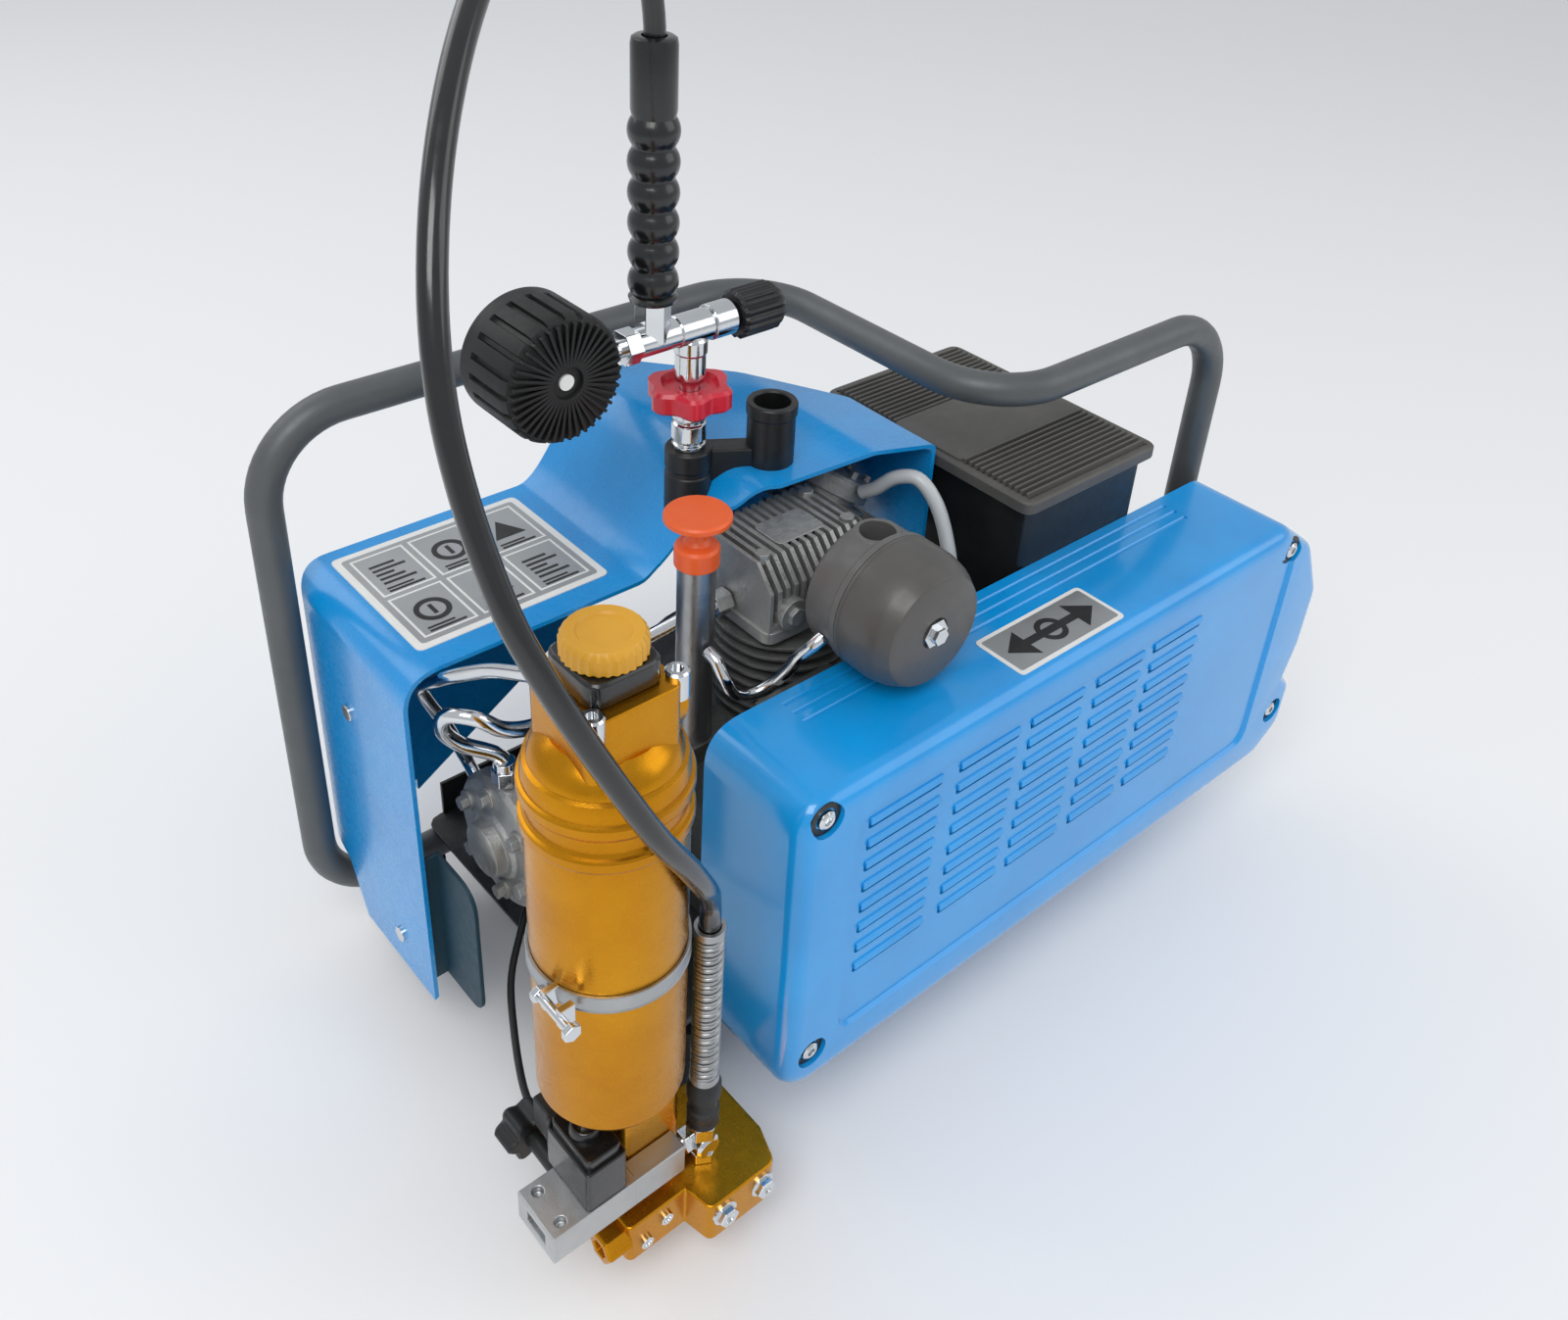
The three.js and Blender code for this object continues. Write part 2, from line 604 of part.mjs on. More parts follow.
// The line of the cowl's top seen along Y, moved down by an inset.
function cowlTop(inset) {
  const xs = [0, 12, 24, 36, 48, 60, 72, 90, 130, 150, 178].map((d) => cowl.rampFrom + d);
  return xs.map((x) => [x, surfaceZ(x) - inset]);
}

// True for a corner that stands clear of the one before it.
function apart([u, v], i, all) {
  return !i || Math.abs(u - all[i - 1][0]) > 1e-6 || Math.abs(v - all[i - 1][1]) > 1e-6;
}

// The cowl's end-on outline, seen along Y, moved in by an inset; each side goes down to its own z.
function cowlOutline(inset, left, right) {
  const top = cowlTop(inset);
  return rounded([
    [cowl.left + inset, left], [cowl.left + inset, cowl.low - inset, 26 - inset], ...top,
    [cowl.right - inset, surfaceZ(cowl.right) - inset, 8], [cowl.right - inset, right],
  ].filter(apart));
}

function cowlPlan(inset, front) {
  const { left, right, rear } = cowl;
  return rounded([
    [left + inset, front ? 22 : -60], [front ? -118 : left + 60, front ? 22 : -60],
    [-98, front ? 16 : -60],
    [-80, front ? -12 : -60], [-56, front ? -24 : -60], [right - inset, front ? -32 : -60],
    [right - inset, 46 - inset * 0.4], [-30 - inset * 0.4, rear - inset],
    [left + inset, rear - inset, 22 - inset],
  ].filter(apart));
}

function fanCowl() {
  const outer = prism('y', cowlOutline(0, 55, 296), -62, cowl.rear)
    .intersect(prism('z', cowlPlan(0, true), 0, 500));
  const inner = prism('y', cowlOutline(cowl.wall, 40, 280), -63, cowl.rear + 1)
    .intersect(prism('z', cowlPlan(cowl.wall, false), 0, 500));
  const rearFoot = prism('x', [[108, 40], [134, 96], [cowl.rear + 2, 112], [cowl.rear + 2, 40]],
    cowl.left - 2, -228);
  const below = block(-292, 90, 120, 200, 30, 100);
  const underRight = block(-60, 90, -40, 60, 30, 300);
  const screwHole = rod('x', 3.3, cowl.left - 1, cowl.left + 5, [60, 80], 10);
  const flap = join(block(-284, -281, -20, 27, 72, 180), block(-294, -281, 24, 27, 72, 180));
  return join(cut(outer, inner, rearFoot, below, underRight, screwHole), flap);
}

// ---- valve holder on the cowl -------------------------------------------------------------------
function valveHolder() {
  const p = [valve.x, valve.y];
  const s = [socket.x, socket.y];
  const post = rod('z', 15, 340, postTop, p, 20);
  const tube = rod('z', socket.r, 370, socket.top, s, 24);
  const arm = prism('z', [
    [p[0] + 4, p[1] - 8], [s[0] - 6, s[1] - 6], [s[0] + 2, s[1] + 8], [p[0] + 8, p[1] + 8],
  ], 376, cowl.high + 12);
  const line = cowlTop(-gap);
  const under = prism('y', [[line[0][0], 300], ...line, [line[line.length - 1][0], 300]], -80, 180);
  const bore = rod('z', socket.bore, cowl.high + 6, socket.top + 1, s, 24);
  const nest = rod('z', 9.5, postTop - 16, postTop + 1, p, 20);
  return cut(join(post, tube, arm), under, bore, nest);
}

// ---- intake filter ------------------------------------------------------------------------------
function intakeHousing() {
  const { x, z, r, rear } = intake;
  const body = turned('y', [
    [0, rear + 2], [r - 10, rear + 2], [r - 2, rear - 5], [r - 2, rear - 26], [r, rear - 26],
    [r, rear - 31], [0, rear - 31],
  ], [x, z], 24);
  const hollow = rod('y', r - 6, rear - 32, rear - 12, [x, z], 24);
  const port = rod('z', 15, z + 10, z + r - 3, [x + 2, rear - 16], 20);
  const way = rod('z', 11, z - 4, z + r, [x + 2, rear - 16], 20);
  const post = rod('y', 5, rear - 40, rear, [x, z], 12);
  const neck = rod('y', 12, rear, head1.y - half(head1.d) - gap, [x - 2, z - 14], 16);
  return join(cut(join(body, port, neck), hollow, way), post);
}

function intakeCover() {
  const { x, z, r, front, rear } = intake;
  const back = rear - 31 - gap;
  const body = turned('y', [
    [0, front], [r - 9, front], [r - 3, front + 9], [r, front + 20], [r, back], [0, back],
  ], [x, z], 24);
  const hollow = turned('y', [
    [0, front + 3], [r - 11, front + 3], [r - 6, front + 12], [r - 3.5, back + 1], [0, back + 1],
  ], [x, z], 24);
  const bolt = turned('y', [
    [0, front - 6], [intake.boltR, front - 6], [intake.boltR, front + 1], [3.5, front + 1],
    [3.5, rear - 42 - gap], [0, rear - 42 - gap],
  ], [x, z], 6);
  return join(cut(body, hollow), bolt);
}

function intakeElement() {
  const { x, z, front, rear } = intake;
  const a = front + 14;
  const b = rear - 33;
  const ring = Array.from({ length: 36 }, (_, i) => {
    const q = i % 2 ? 27 : 31;
    const t = (2 * Math.PI * i) / 36;
    return [x + q * Math.cos(t), z + q * Math.sin(t)];
  });
  return cut(prism('y', ring, a, b), rod('y', 20, a - 1, b + 1, [x, z], 20));
}

// ---- oil filler and pipes -----------------------------------------------------------------------
function fillerTube() {
  const { x, y, r, top, bottom } = filler;
  return cut(rod('z', r, bottom, top, [x, y], 20), rod('z', r - 2.5, bottom + 4, top + 1, [x, y], 20));
}

function dipstick() {
  const { x, y, r, top, bottom } = filler;
  return turned('z', [
    [0, bottom + 16], [2.5, bottom + 16], [2.5, top - 10], [r - 3, top - 9], [r - 3, top + gap],
    [r + 2, top + gap],
    [r + 2, top + 13], [r - 1, top + 15], [5.5, top + 17], [5.5, top + 28], [20, top + 30],
    [20, top + 35], [0, top + 35],
  ], [x, y], 20);
}

function coolerPipe() {
  const out = [-Math.cos(0.45), -Math.sin(0.45)];
  const y = intake.rear - 17;
  const near = (d) => [intake.x + (intake.r - 2 + d) * out[0], y,
    intake.z + (intake.r - 2 + d) * out[1]];
  return tubeAlong(smooth([
    [filler.x, filler.y - filler.r - 1.2, 322], [filler.x, filler.y - 21, 320], [-137, -73, 310],
    [-132, -76, 299],
    [-121, -79, 295], [-110, -84, 300], [-104, -91, 312], [-102, -98, 326], near(7), near(0.5),
  ], 18), pipeR, 8);
}

function stagePipe() {
  const z = crank.z - cyl3.drop + cyl3.discR;
  const x = crank.x - cyl3.from - cyl3.length - 13;
  return tubeAlong(smooth([
    [head1.x - half(head1.w) - 1, -34, 332], [-112, -34, 332], [-118, -31, 330], [-130, -20, 318],
    [-156, -4, 298], [-190, -4, 281],
    [-222, -7, 276], [-248, -8, 285], [-265, -4, 300], [-275, 8, 299], [-275, 18, 282], [-264, 19, 264],
    [x, 11, z + 18], [x, cyl3.y, z + 8], [x, cyl3.y, z + 0.6],
  ], 30), 5, 8);
}

function deliveryPipe() {
  const side = filter.y + half(filterHead.w);
  const x = crank.x - cyl3.from - cyl3.length - 13;
  const z = crank.z - cyl3.drop;
  const r = cyl3.discR;
  return tubeAlong(smooth([
    [x, cyl3.y + (r + 0.5) * 0.855, z + (r + 0.5) * 0.519],
    [x, cyl3.y + (r + 9) * 0.855, z + (r + 9) * 0.519],
    [-250, 60, 240], [-268, 54, 284], [-272, 20, 316], [-264, -20, 344], [-262, -70, 372],
    [-262, -110, 398], [-262, -119, 411], [-262, side + 8, 419], [-262, side + 5, 420],
    [-262, side + 0.7, 420],
  ], 22), pipeR, 8);
}

function breatherHose() {
  const out = [Math.cos(0.41), Math.sin(0.41)];
  const near = (d) => [crank.x + (crank.caseR + d) * out[0], -62, crank.z + (crank.caseR + d) * out[1]];
  return tubeAlong(smooth([
    [38, -3, 342], [41, -12, 348], [46, -26, 362], [51, -40, 366], [55, -54, 354], [57, -67, 328],
    [58, -74, 296],
    [50, -74, 264], [34, -68, 240], near(16), near(0.5),
  ], 20), 5, 8);
}

// ---- filter tower -------------------------------------------------------------------------------
function filterHousing() {
  const { r, bottom, top, x, y } = filter;
  const ring = (z) => [[r, z - 4.5], [r + 2, z - 2.5], [r + 2, z + 2.5], [r, z + 4.5]];
  return turned('z', [
    [0, bottom], [r - 6, bottom], [r, bottom + 6], ...ring(359.5), ...ring(380), [r - 0.5, top - 4],
    [r - 3.5, top], [0, top],
  ], [x, y], 28);
}

function filterTop() {
  const { x, y, top } = filter;
  const z0 = top + gap;
  const w = half(filterHead.w);
  const shoulder = turned('z', [[0, z0], [37, z0], [34.5, z0 + 7], [27, z0 + 14], [0, z0 + 14]],
    [x, y], 28);
  const body = prism('z', rounded(rectangle(x - w, x + w, y - w, y + w, 7), 2), z0 + 9, filterHead.top);
  const flank = rod('x', 20, x + w - 10, x + w + 7, [y, z0 + 22], 24);
  const above = block(x + w - 2, x + w + 8, y - 30, y + 30, z0 + 27, z0 + 60);
  const lugs = [[x + w + 1, y - w + 8], [x - w + 4, y - w + 4]].map((at) => (
    rod('z', 6, filterHead.top - 14, filterHead.top + 3, at, 12)
  ));
  return join(body, shoulder, cut(flank, above), ...lugs);
}

function filterCollar() {
  const { x, y } = filter;
  const z0 = filterHead.top + gap;
  const w = 20;
  const body = prism('z', rounded(rectangle(x - w, x + w, y - w, y + w, 9), 2), z0,
    z0 + filterHead.collar);
  const lug = rod('z', 6 + gap, z0 - 1, z0 + 16,
    [x - half(filterHead.w) + 4, y - half(filterHead.w) + 4], 12);
  return cut(body, rod('z', 13, z0 + 5, z0 + 16, [x, y], 20), lug);
}

function filterScrewCap() {
  const { x, y } = filter;
  const z0 = filterHead.top + gap + filterHead.collar + gap;
  const { r, t } = filterCap;
  const rim = moved(lobes(14, r, 0.9, 3), x, y);
  const body = prism('z', rim, z0, z0 + t - 2);
  const top = turned('z', [[0, z0 + t - 3], [r - 1.5, z0 + t - 3], [r - 3, z0 + t], [r - 8, z0 + t],
    [r - 9, z0 + t - 1.2],
    [0, z0 + t - 1.2]], [x, y], 28);
  const plug = rod('z', 12.4, z0 - 9, z0 + 1, [x, y], 20);
  return join(body, top, plug);
}

function clampBand() {
  const { x, y, r } = filter;
  const z = 266;
  const ring = cut(rod('z', r + 1.8, z - 6, z + 6, [x, y], 28),
    rod('z', r + gap, z - 7, z + 7, [x, y], 28));
  const angle = THREE.MathUtils.degToRad(203);
  const [ex, ey] = [x + (r + 7) * Math.cos(angle), y + (r + 7) * Math.sin(angle)];
  const ear = cut(block(ex - 7, ex + 7, ey - 5, ey + 5, z - 7, z + 7),
    rod('z', r + gap, z - 9, z + 9, [x, y], 28));
  return join(ring, ear, rod('y', 3.2, ey - 16, ey + 14, [ex - 4, z], 8));
}

function baseManifold() {
  const { z0, z1, left, right, front, nose, rear } = manifold;
  const body = prism('z', rounded([
    [left, front, 5], [-256, front], [-252, nose, 6], [right - 8, nose, 8], [right, front + 4, 6],
    [right, rear, 10],
    [left, rear, 5],
  ], 2), z0, z1);
  const pillar = prism('z', rounded(rectangle(column.left, column.right, column.front, column.rear,
    6), 2),
    z1 - 1, filter.bottom - gap);
  const plugs = [-214, -242].map((x) => rod('y', 6.5, nose - 6, nose + 2, [x, z0 + 20], 6));
  const endPlug = rod('x', 11, left - 14, left + 2, [front + 9, z0 + 18], 6);
  return join(body, pillar, ...plugs, endPlug);
}

function valveBlock() {
  const { left, front, rear, z0, z1 } = bar;
  return join(
    block(left, column.left - gap, front, rear, z0, z1),
    block(column.left - 1, -255, front, column.front - gap, z0, z1),
  );
}

function solenoidCoil() {
  const z0 = bar.z1 + gap;
  const body = prism('z', rounded(rectangle(-320, -294, -193, -152, 3), 2), z0, z0 + 38);
  const cap = rod('z', 9, z0 + 37, z0 + 44, [-307, -172], 16);
  const plug = block(-317, -297, -153, -135, z0 + 10, z0 + 34);
  return join(body, cap, plug);
}

function drainKnob() {
  const head = prism('y', moved(lobes(6, drain.r, 4, 4), drain.x, drain.z), drain.from, drain.to);
  return join(head, rod('y', 5, bar.rear + gap, drain.from + 1, [drain.x, drain.z], 12));
}

// ---- hose and its fittings ----------------------------------------------------------------------
function hoseElbow() {
  const { x, y } = hose;
  const z = manifold.z1 + 12;
  const up = rod('z', 7, z, 104, [x, y], 14);
  const base = rod('z', 9.5, manifold.z1 + gap, z - 4, [x, y], 6);
  const across = rod('x', 5.5, column.right + gap, x, [y + 5, z + 2], 14);
  const nut = rod('z', 10, 94, 104, [x, y], 6);
  return join(up, base, across, nut, rod('y', 8.5, y - 8, y + 10, [x, z], 14));
}

function hoseFerrule() {
  const { x, y } = hose;
  return turned('z', [
    [0, 104 + gap], [9.5, 104 + gap], [9.5, 116], [8, 118], [8, 126], [10, 128], [10, 140],
    [8.5, 142], [0, 142],
  ], [x, y], 16);
}

function springGuard() {
  const { x, y } = hose;
  const profile = [[0, 142 + gap], [8.2, 142 + gap], [8.2, 196]];
  for (let i = 0; i < 6; i += 1) profile.push([8.6, 198 + i * 10.6], [8.6, 204 + i * 10.6],
    [7.4, 206 + i * 10.6]);
  profile.push([8.2, 261], [8.2, 266], [0, 266]);
  return cut(turned('z', profile, [x, y], 12), rod('z', hose.r + 0.9, 236, 267, [x, y], 10));
}

const hoseRoute = [
  [hose.x, hose.y, 237], [hose.x, hose.y, 252], [hose.x, hose.y, 268], [-236, -185, 284],
    [-243, -192, 303],
  [-254, -201, 323], [-269, -207, 350], [-287, -209, 380], [-302, -205, 411], [-316, -198, 443],
    [-328, -189, 474],
  [-337, -179, 503], [-341, -168, 530], [-343, -158, 556], [-343, -148, 586], [-339, -138, 616],
    [-329, -124, 645],
  [-313, -105, 671], [-291, -83, 697], [-264, -59, 719], [-232, -34, 735], [-197, -10, 741],
    [-163, 9, 733],
  [-136, 21, 713], [-121, 26.5, 688], [-116, 28, 664], [-116, 28, 648], [-116, 28, 636],
];

function fillHose() {
  return tubeAlong(smooth(hoseRoute, 36), hose.r, 8);
}

function hoseGrip() {
  const { r, waist, z0, z1 } = grip;
  const profile = [[0, z0], [r - 1, z0], [r, z0 + 3]];
  for (let i = 0; i < 6; i += 1) {
    const a = z0 + 4 + i * 17.2;
    profile.push([r, a + 4], [r, a + 9], [waist, a + 14]);
  }
  profile.push([waist + 0.8, z1 - 34], [waist + 0.8, z1 - 4], [waist - 1, z1], [0, z1]);
  const way = rod('z', hose.r + 0.9, z1 - 23, z1 + 1, [valve.hoseX, valve.y], 12);
  return cut(turned('z', profile, [valve.hoseX, valve.y], 14), way);
}

function valveBody() {
  const { x, y, z, hoseX } = valve;
  const crossbar = rod('x', 9, -134, -57, [y, z], 16);
  const gaugeStem = rod('x', gauge.stemR, gauge.x + gauge.r - 6.5, -130, [y, z], 12);
  const hexLeft = rod('x', 11, -138, -128, [y, z], 6);
  const seat = rod('x', 11, -76, -59.4, [y, z], 18);
  const adaptor = rod('z', 10.5, z, grip.z0 - gap, [hoseX, y], 6);
  const stem = rod('z', 9.5, wheel.z + half(wheel.t) + gap + 2, z, [x, y], 16);
  const spindle = rod('z', 6, postTop - 4, z, [x, y], 16);
  const nose = turned('z', [
    [0, postTop - 14], [8.6, postTop - 14], [8.6, postTop + gap], [11, postTop + gap],
    [11, wheel.z - half(wheel.t) - gap], [0, wheel.z - half(wheel.t) - gap],
  ], [x, y], 12);
  return join(crossbar, gaugeStem, hexLeft, seat, adaptor, stem, spindle, nose);
}

function handwheel() {
  const { x, y } = valve;
  const { r, t, z } = wheel;
  const rim = prism('z', moved(lobes(6, r, 5, 6), x, y), z - half(t), z + half(t));
  const dish = turned('z', [[0, z + 2], [r - 12, z + 2], [r - 9, z + half(t) + 1],
    [0, z + half(t) + 1]], [x, y], 20);
  return cut(rim, dish, rod('z', 6 + gap, z - half(t) - 1, z + half(t) + 1, [x, y], 16));
}

function valveKnob() {
  const { y, z } = valve;
  const rim = moved(lobes(8, 15.5, 2, 4), y, z);
  const head = prism('x', rim, -56.5, -26);
  const face = turned('x', [[0, -27], [12, -27], [10, -23], [0, -23]], [y, z], 16);
  return join(head, face);
}

function gaugeBoot() {
  const { x, z, r, y0, y1, stemR } = gauge;
  const side = Array.from({ length: 40 }, (_, i) => {
    const t = (2 * Math.PI * i) / 40;
    const q = i % 4 === 0 ? r - 2 : r;
    return [x + q * Math.cos(t), z + q * Math.sin(t)];
  });
  const body = prism('y', side, y0 + 3, y1);
  const back = Array.from({ length: 10 }, (_, i) => {
    const t = (2 * Math.PI * i) / 10;
    return rod('y', 3, y0, y0 + 4, [x + 20 * Math.cos(t), z + 20 * Math.sin(t)], 6);
  });
  const well = rod('y', r - 8, y0 + 10, y1 + 1, [x, z], 24);
  const hole = rod('y', 5, y0 - 1, y0 + 11, [x, z], 12);
  const stemWay = rod('x', stemR + gap, x + 20, x + r + 4, [valve.y, valve.z], 14);
  return cut(join(body, ...back), well, hole, stemWay);
}

function gaugeCase() {
  const { x, z, r, y0, y1 } = gauge;
  const can = cut(
    rod('y', r - 9, y0 + 10 + gap, y1 - 3, [x, z], 24),
    rod('y', dial.r, dial.face, y1, [x, z], 24),
  );
  return join(can, rod('y', 1.6, dial.face - 1, dial.face + 5, [x, z], 8));
}

function gaugeNeedle() {
  const { x, z } = gauge;
  const y = dial.face + 2.5;
  const hub = rod('y', 4, y, y + 1.4, [x, z], 12);
  const hand = prism('y', [[x - 7, z + 4], [x - 4, z + 7], [x + 15, z - 14], [x + 14, z - 15]], y,
    y + 1.2);
  return cut(join(hub, hand), rod('y', 1.6 + gap, y - 1, y + 3, [x, z], 8));
}

// ---- the group ----------------------------------------------------------------------------------
function fromManifold(m) {
  const mesh = m.getMesh();
  const n = mesh.numProp;
  const p = new Float32Array((mesh.vertProperties.length / n) * 3);
  for (let i = 0; i < p.length / 3; i += 1) {
    for (let k = 0; k < 3; k += 1) p[3 * i + k] = mesh.vertProperties[n * i + k];
  }
  const g = new THREE.BufferGeometry();
  g.setAttribute('position', new THREE.BufferAttribute(p, 3));
  g.setIndex(new THREE.BufferAttribute(new Uint32Array(mesh.triVerts), 1));
  return g;
}

const paints = {
  blue: [0x0a8fdc, 0.35, 0],
  frameGrey: [0x43484b, 0.45, 0.2],
  black: [0x141515, 0.5, 0],
  rubber: [0x1a1a1a, 0.85, 0],
  alloy: [0xa9abab, 0.45, 0.8],
  steel: [0x9a9c9e, 0.35, 0.9],
  chrome: [0xd7dadd, 0.12, 1],
  gold: [0xc88a12, 0.3, 0.9],
  capGold: [0xe3ab28, 0.45, 0.3],
  orange: [0xf26e32, 0.5, 0],
  red: [0xd7263a, 0.4, 0],
  lidGrey: [0x64625f, 0.6, 0],
  drumGrey: [0x6e6c6b, 0.55, 0],
  paper: [0xe8e2cf, 0.9, 0],
  clear: [0xb8bcc0, 0.25, 0],
  white: [0xf2f2f0, 0.5, 0],
};

const nodes = [
  ['carry_frame', carryFrame, 'frameGrey'],
  ['base_plate', basePlate, 'black'],
  ...Object.entries(feetAt).map(([name, at]) => [name, () => rubberFoot(at), 'rubber']),
  ['belt_guard', beltGuard, 'blue'],
  ...Object.entries(guardScrews).map(([name, at]) => [name, () => screw(at), 'chrome']),
  ['guard_backplate', guardBackplate, 'black'],
  ['crankcase', crankcase, 'alloy'],
  ['cylinder_1', cylinder1, 'alloy'],
  ['head_1', headBlock, 'alloy'],
  ['cylinder_2', cylinder2, 'alloy'],
  ['head_2', head2, 'alloy'],
  ['cylinder_3', cylinder3, 'alloy'],
  ['head_3', head3, 'alloy'],
  ['crankshaft', crankshaft, 'steel'],
  ['flywheel', () => grooved(flywheel, flywheel.y, [crank.x, crank.z], crank.r, true), 'alloy'],
  ['drive_belt', driveBelt, 'rubber'],
  ['motor_pulley', () => grooved(pulley, flywheel.y, [motor.x, motor.z], motor.shaftR, false), 'steel'],
  ['motor_shaft', motorShaft, 'steel'],
  ['motor_body', motorBody, 'black'],
  ['control_box', controlBox, 'black'],
  ['box_lid', boxLid, 'lidGrey'],
  ['selector_knob', selectorKnob, 'red'],
  ['cable_inlet', cableInlet, 'black'],
  ['fan_cowl', fanCowl, 'blue'],
  ['valve_holder', valveHolder, 'black'],
  ['intake_housing', intakeHousing, 'drumGrey'],
  ['intake_cover', intakeCover, 'drumGrey'],
  ['intake_element', intakeElement, 'paper'],
  ['oil_filler_tube', fillerTube, 'steel'],
  ['oil_dipstick', dipstick, 'orange'],
  ['cooler_pipe', coolerPipe, 'chrome'],
  ['stage_pipe', stagePipe, 'chrome'],
  ['delivery_pipe', deliveryPipe, 'chrome'],
  ['breather_hose', breatherHose, 'clear'],
  ['filter_housing', filterHousing, 'gold'],
  ['filter_head', filterTop, 'gold'],
  ['filter_collar', filterCollar, 'black'],
  ['filter_cap', filterScrewCap, 'capGold'],
  ['clamp_band', clampBand, 'steel'],
  ['base_manifold', baseManifold, 'gold'],
  ['valve_block', valveBlock, 'alloy'],
  ['solenoid_coil', solenoidCoil, 'black'],
  ['drain_knob', drainKnob, 'black'],
  ['hose_elbow', hoseElbow, 'chrome'],
  ['hose_ferrule', hoseFerrule, 'black'],
  ['spring_guard', springGuard, 'steel'],
  ['fill_hose', fillHose, 'rubber'],
  ['hose_grip', hoseGrip, 'rubber'],
  ['valve_body', valveBody, 'chrome'],
  ['handwheel', handwheel, 'red'],
  ['valve_knob', valveKnob, 'black'],
  ['gauge_boot', gaugeBoot, 'rubber'],
  ['gauge_case', gaugeCase, 'white'],
  ['gauge_needle', gaugeNeedle, 'red'],
];

const group = new THREE.Group();
for (const [name, make, paint] of nodes) {
  const [color, roughness, metalness] = paints[paint];
  const mesh = new THREE.Mesh(
    fromManifold(make()).translate(-origin.x, -origin.y, 0),
    new THREE.MeshStandardMaterial({ color, roughness, metalness }),
  );
  mesh.geometry.computeVertexNormals();
  mesh.name = name;
  group.add(mesh);
}
export default group;
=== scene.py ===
import json
import math

import bmesh
import bpy
from mathutils import Matrix, Vector


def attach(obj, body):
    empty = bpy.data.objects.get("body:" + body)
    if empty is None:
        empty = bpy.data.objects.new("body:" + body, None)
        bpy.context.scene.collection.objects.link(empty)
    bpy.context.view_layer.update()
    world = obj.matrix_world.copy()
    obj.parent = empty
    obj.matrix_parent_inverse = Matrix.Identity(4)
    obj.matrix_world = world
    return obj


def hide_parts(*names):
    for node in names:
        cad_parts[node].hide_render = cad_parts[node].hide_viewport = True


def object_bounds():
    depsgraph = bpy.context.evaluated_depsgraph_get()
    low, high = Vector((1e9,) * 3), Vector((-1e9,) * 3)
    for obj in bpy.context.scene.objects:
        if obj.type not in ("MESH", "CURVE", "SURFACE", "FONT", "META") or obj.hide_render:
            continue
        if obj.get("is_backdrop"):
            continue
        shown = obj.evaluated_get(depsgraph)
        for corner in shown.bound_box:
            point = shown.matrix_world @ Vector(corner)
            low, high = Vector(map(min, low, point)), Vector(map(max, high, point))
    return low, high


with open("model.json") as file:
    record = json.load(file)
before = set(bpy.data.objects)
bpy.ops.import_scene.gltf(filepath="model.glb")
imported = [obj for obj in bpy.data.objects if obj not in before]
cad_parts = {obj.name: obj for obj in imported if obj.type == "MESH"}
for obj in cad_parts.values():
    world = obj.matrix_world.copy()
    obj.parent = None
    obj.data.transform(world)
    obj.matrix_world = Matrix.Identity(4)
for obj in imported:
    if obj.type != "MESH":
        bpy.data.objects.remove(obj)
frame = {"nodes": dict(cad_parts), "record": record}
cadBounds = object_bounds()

# shapes are drawn in millimetres on the machine's own layout; settle() moves them into the frame in metres
layoutMiddle = Vector((9.5, -27.5, 0.0))
mm = 0.001


def toFrame(p):
    return (Vector(p) - layoutMiddle) * mm


# where the camera stands and how it is turned
cameraLook = {"place": (-563.9, -574.7, 843.7), "yaw": 0.748, "pitch": 0.5555, "roll": 0.0629,
              "lens": 32.69, "shiftY": -0.1003}


def setCamera(look):
    yaw, pitch, roll = look["yaw"], look["pitch"], look["roll"]
    ahead = Vector((math.sin(yaw) * math.cos(pitch), math.cos(yaw) * math.cos(pitch), -math.sin(pitch)))
    side = Vector((math.cos(yaw), -math.sin(yaw), 0))
    up = side.cross(ahead)
    right = math.cos(roll) * side + math.sin(roll) * up
    top = -math.sin(roll) * side + math.cos(roll) * up
    data = bpy.data.cameras.new("camera")
    data.lens = look["lens"]
    data.shift_y = look["shiftY"]
    data.clip_end = 50
    cam = bpy.data.objects.new("camera", data)
    turn = Matrix((right, top, -ahead)).transposed().to_4x4()
    cam.matrix_world = Matrix.Translation(toFrame(look["place"])) @ turn
    bpy.context.scene.collection.objects.link(cam)
    bpy.context.scene.camera = cam


setCamera(cameraLook)
print("stage: camera set")


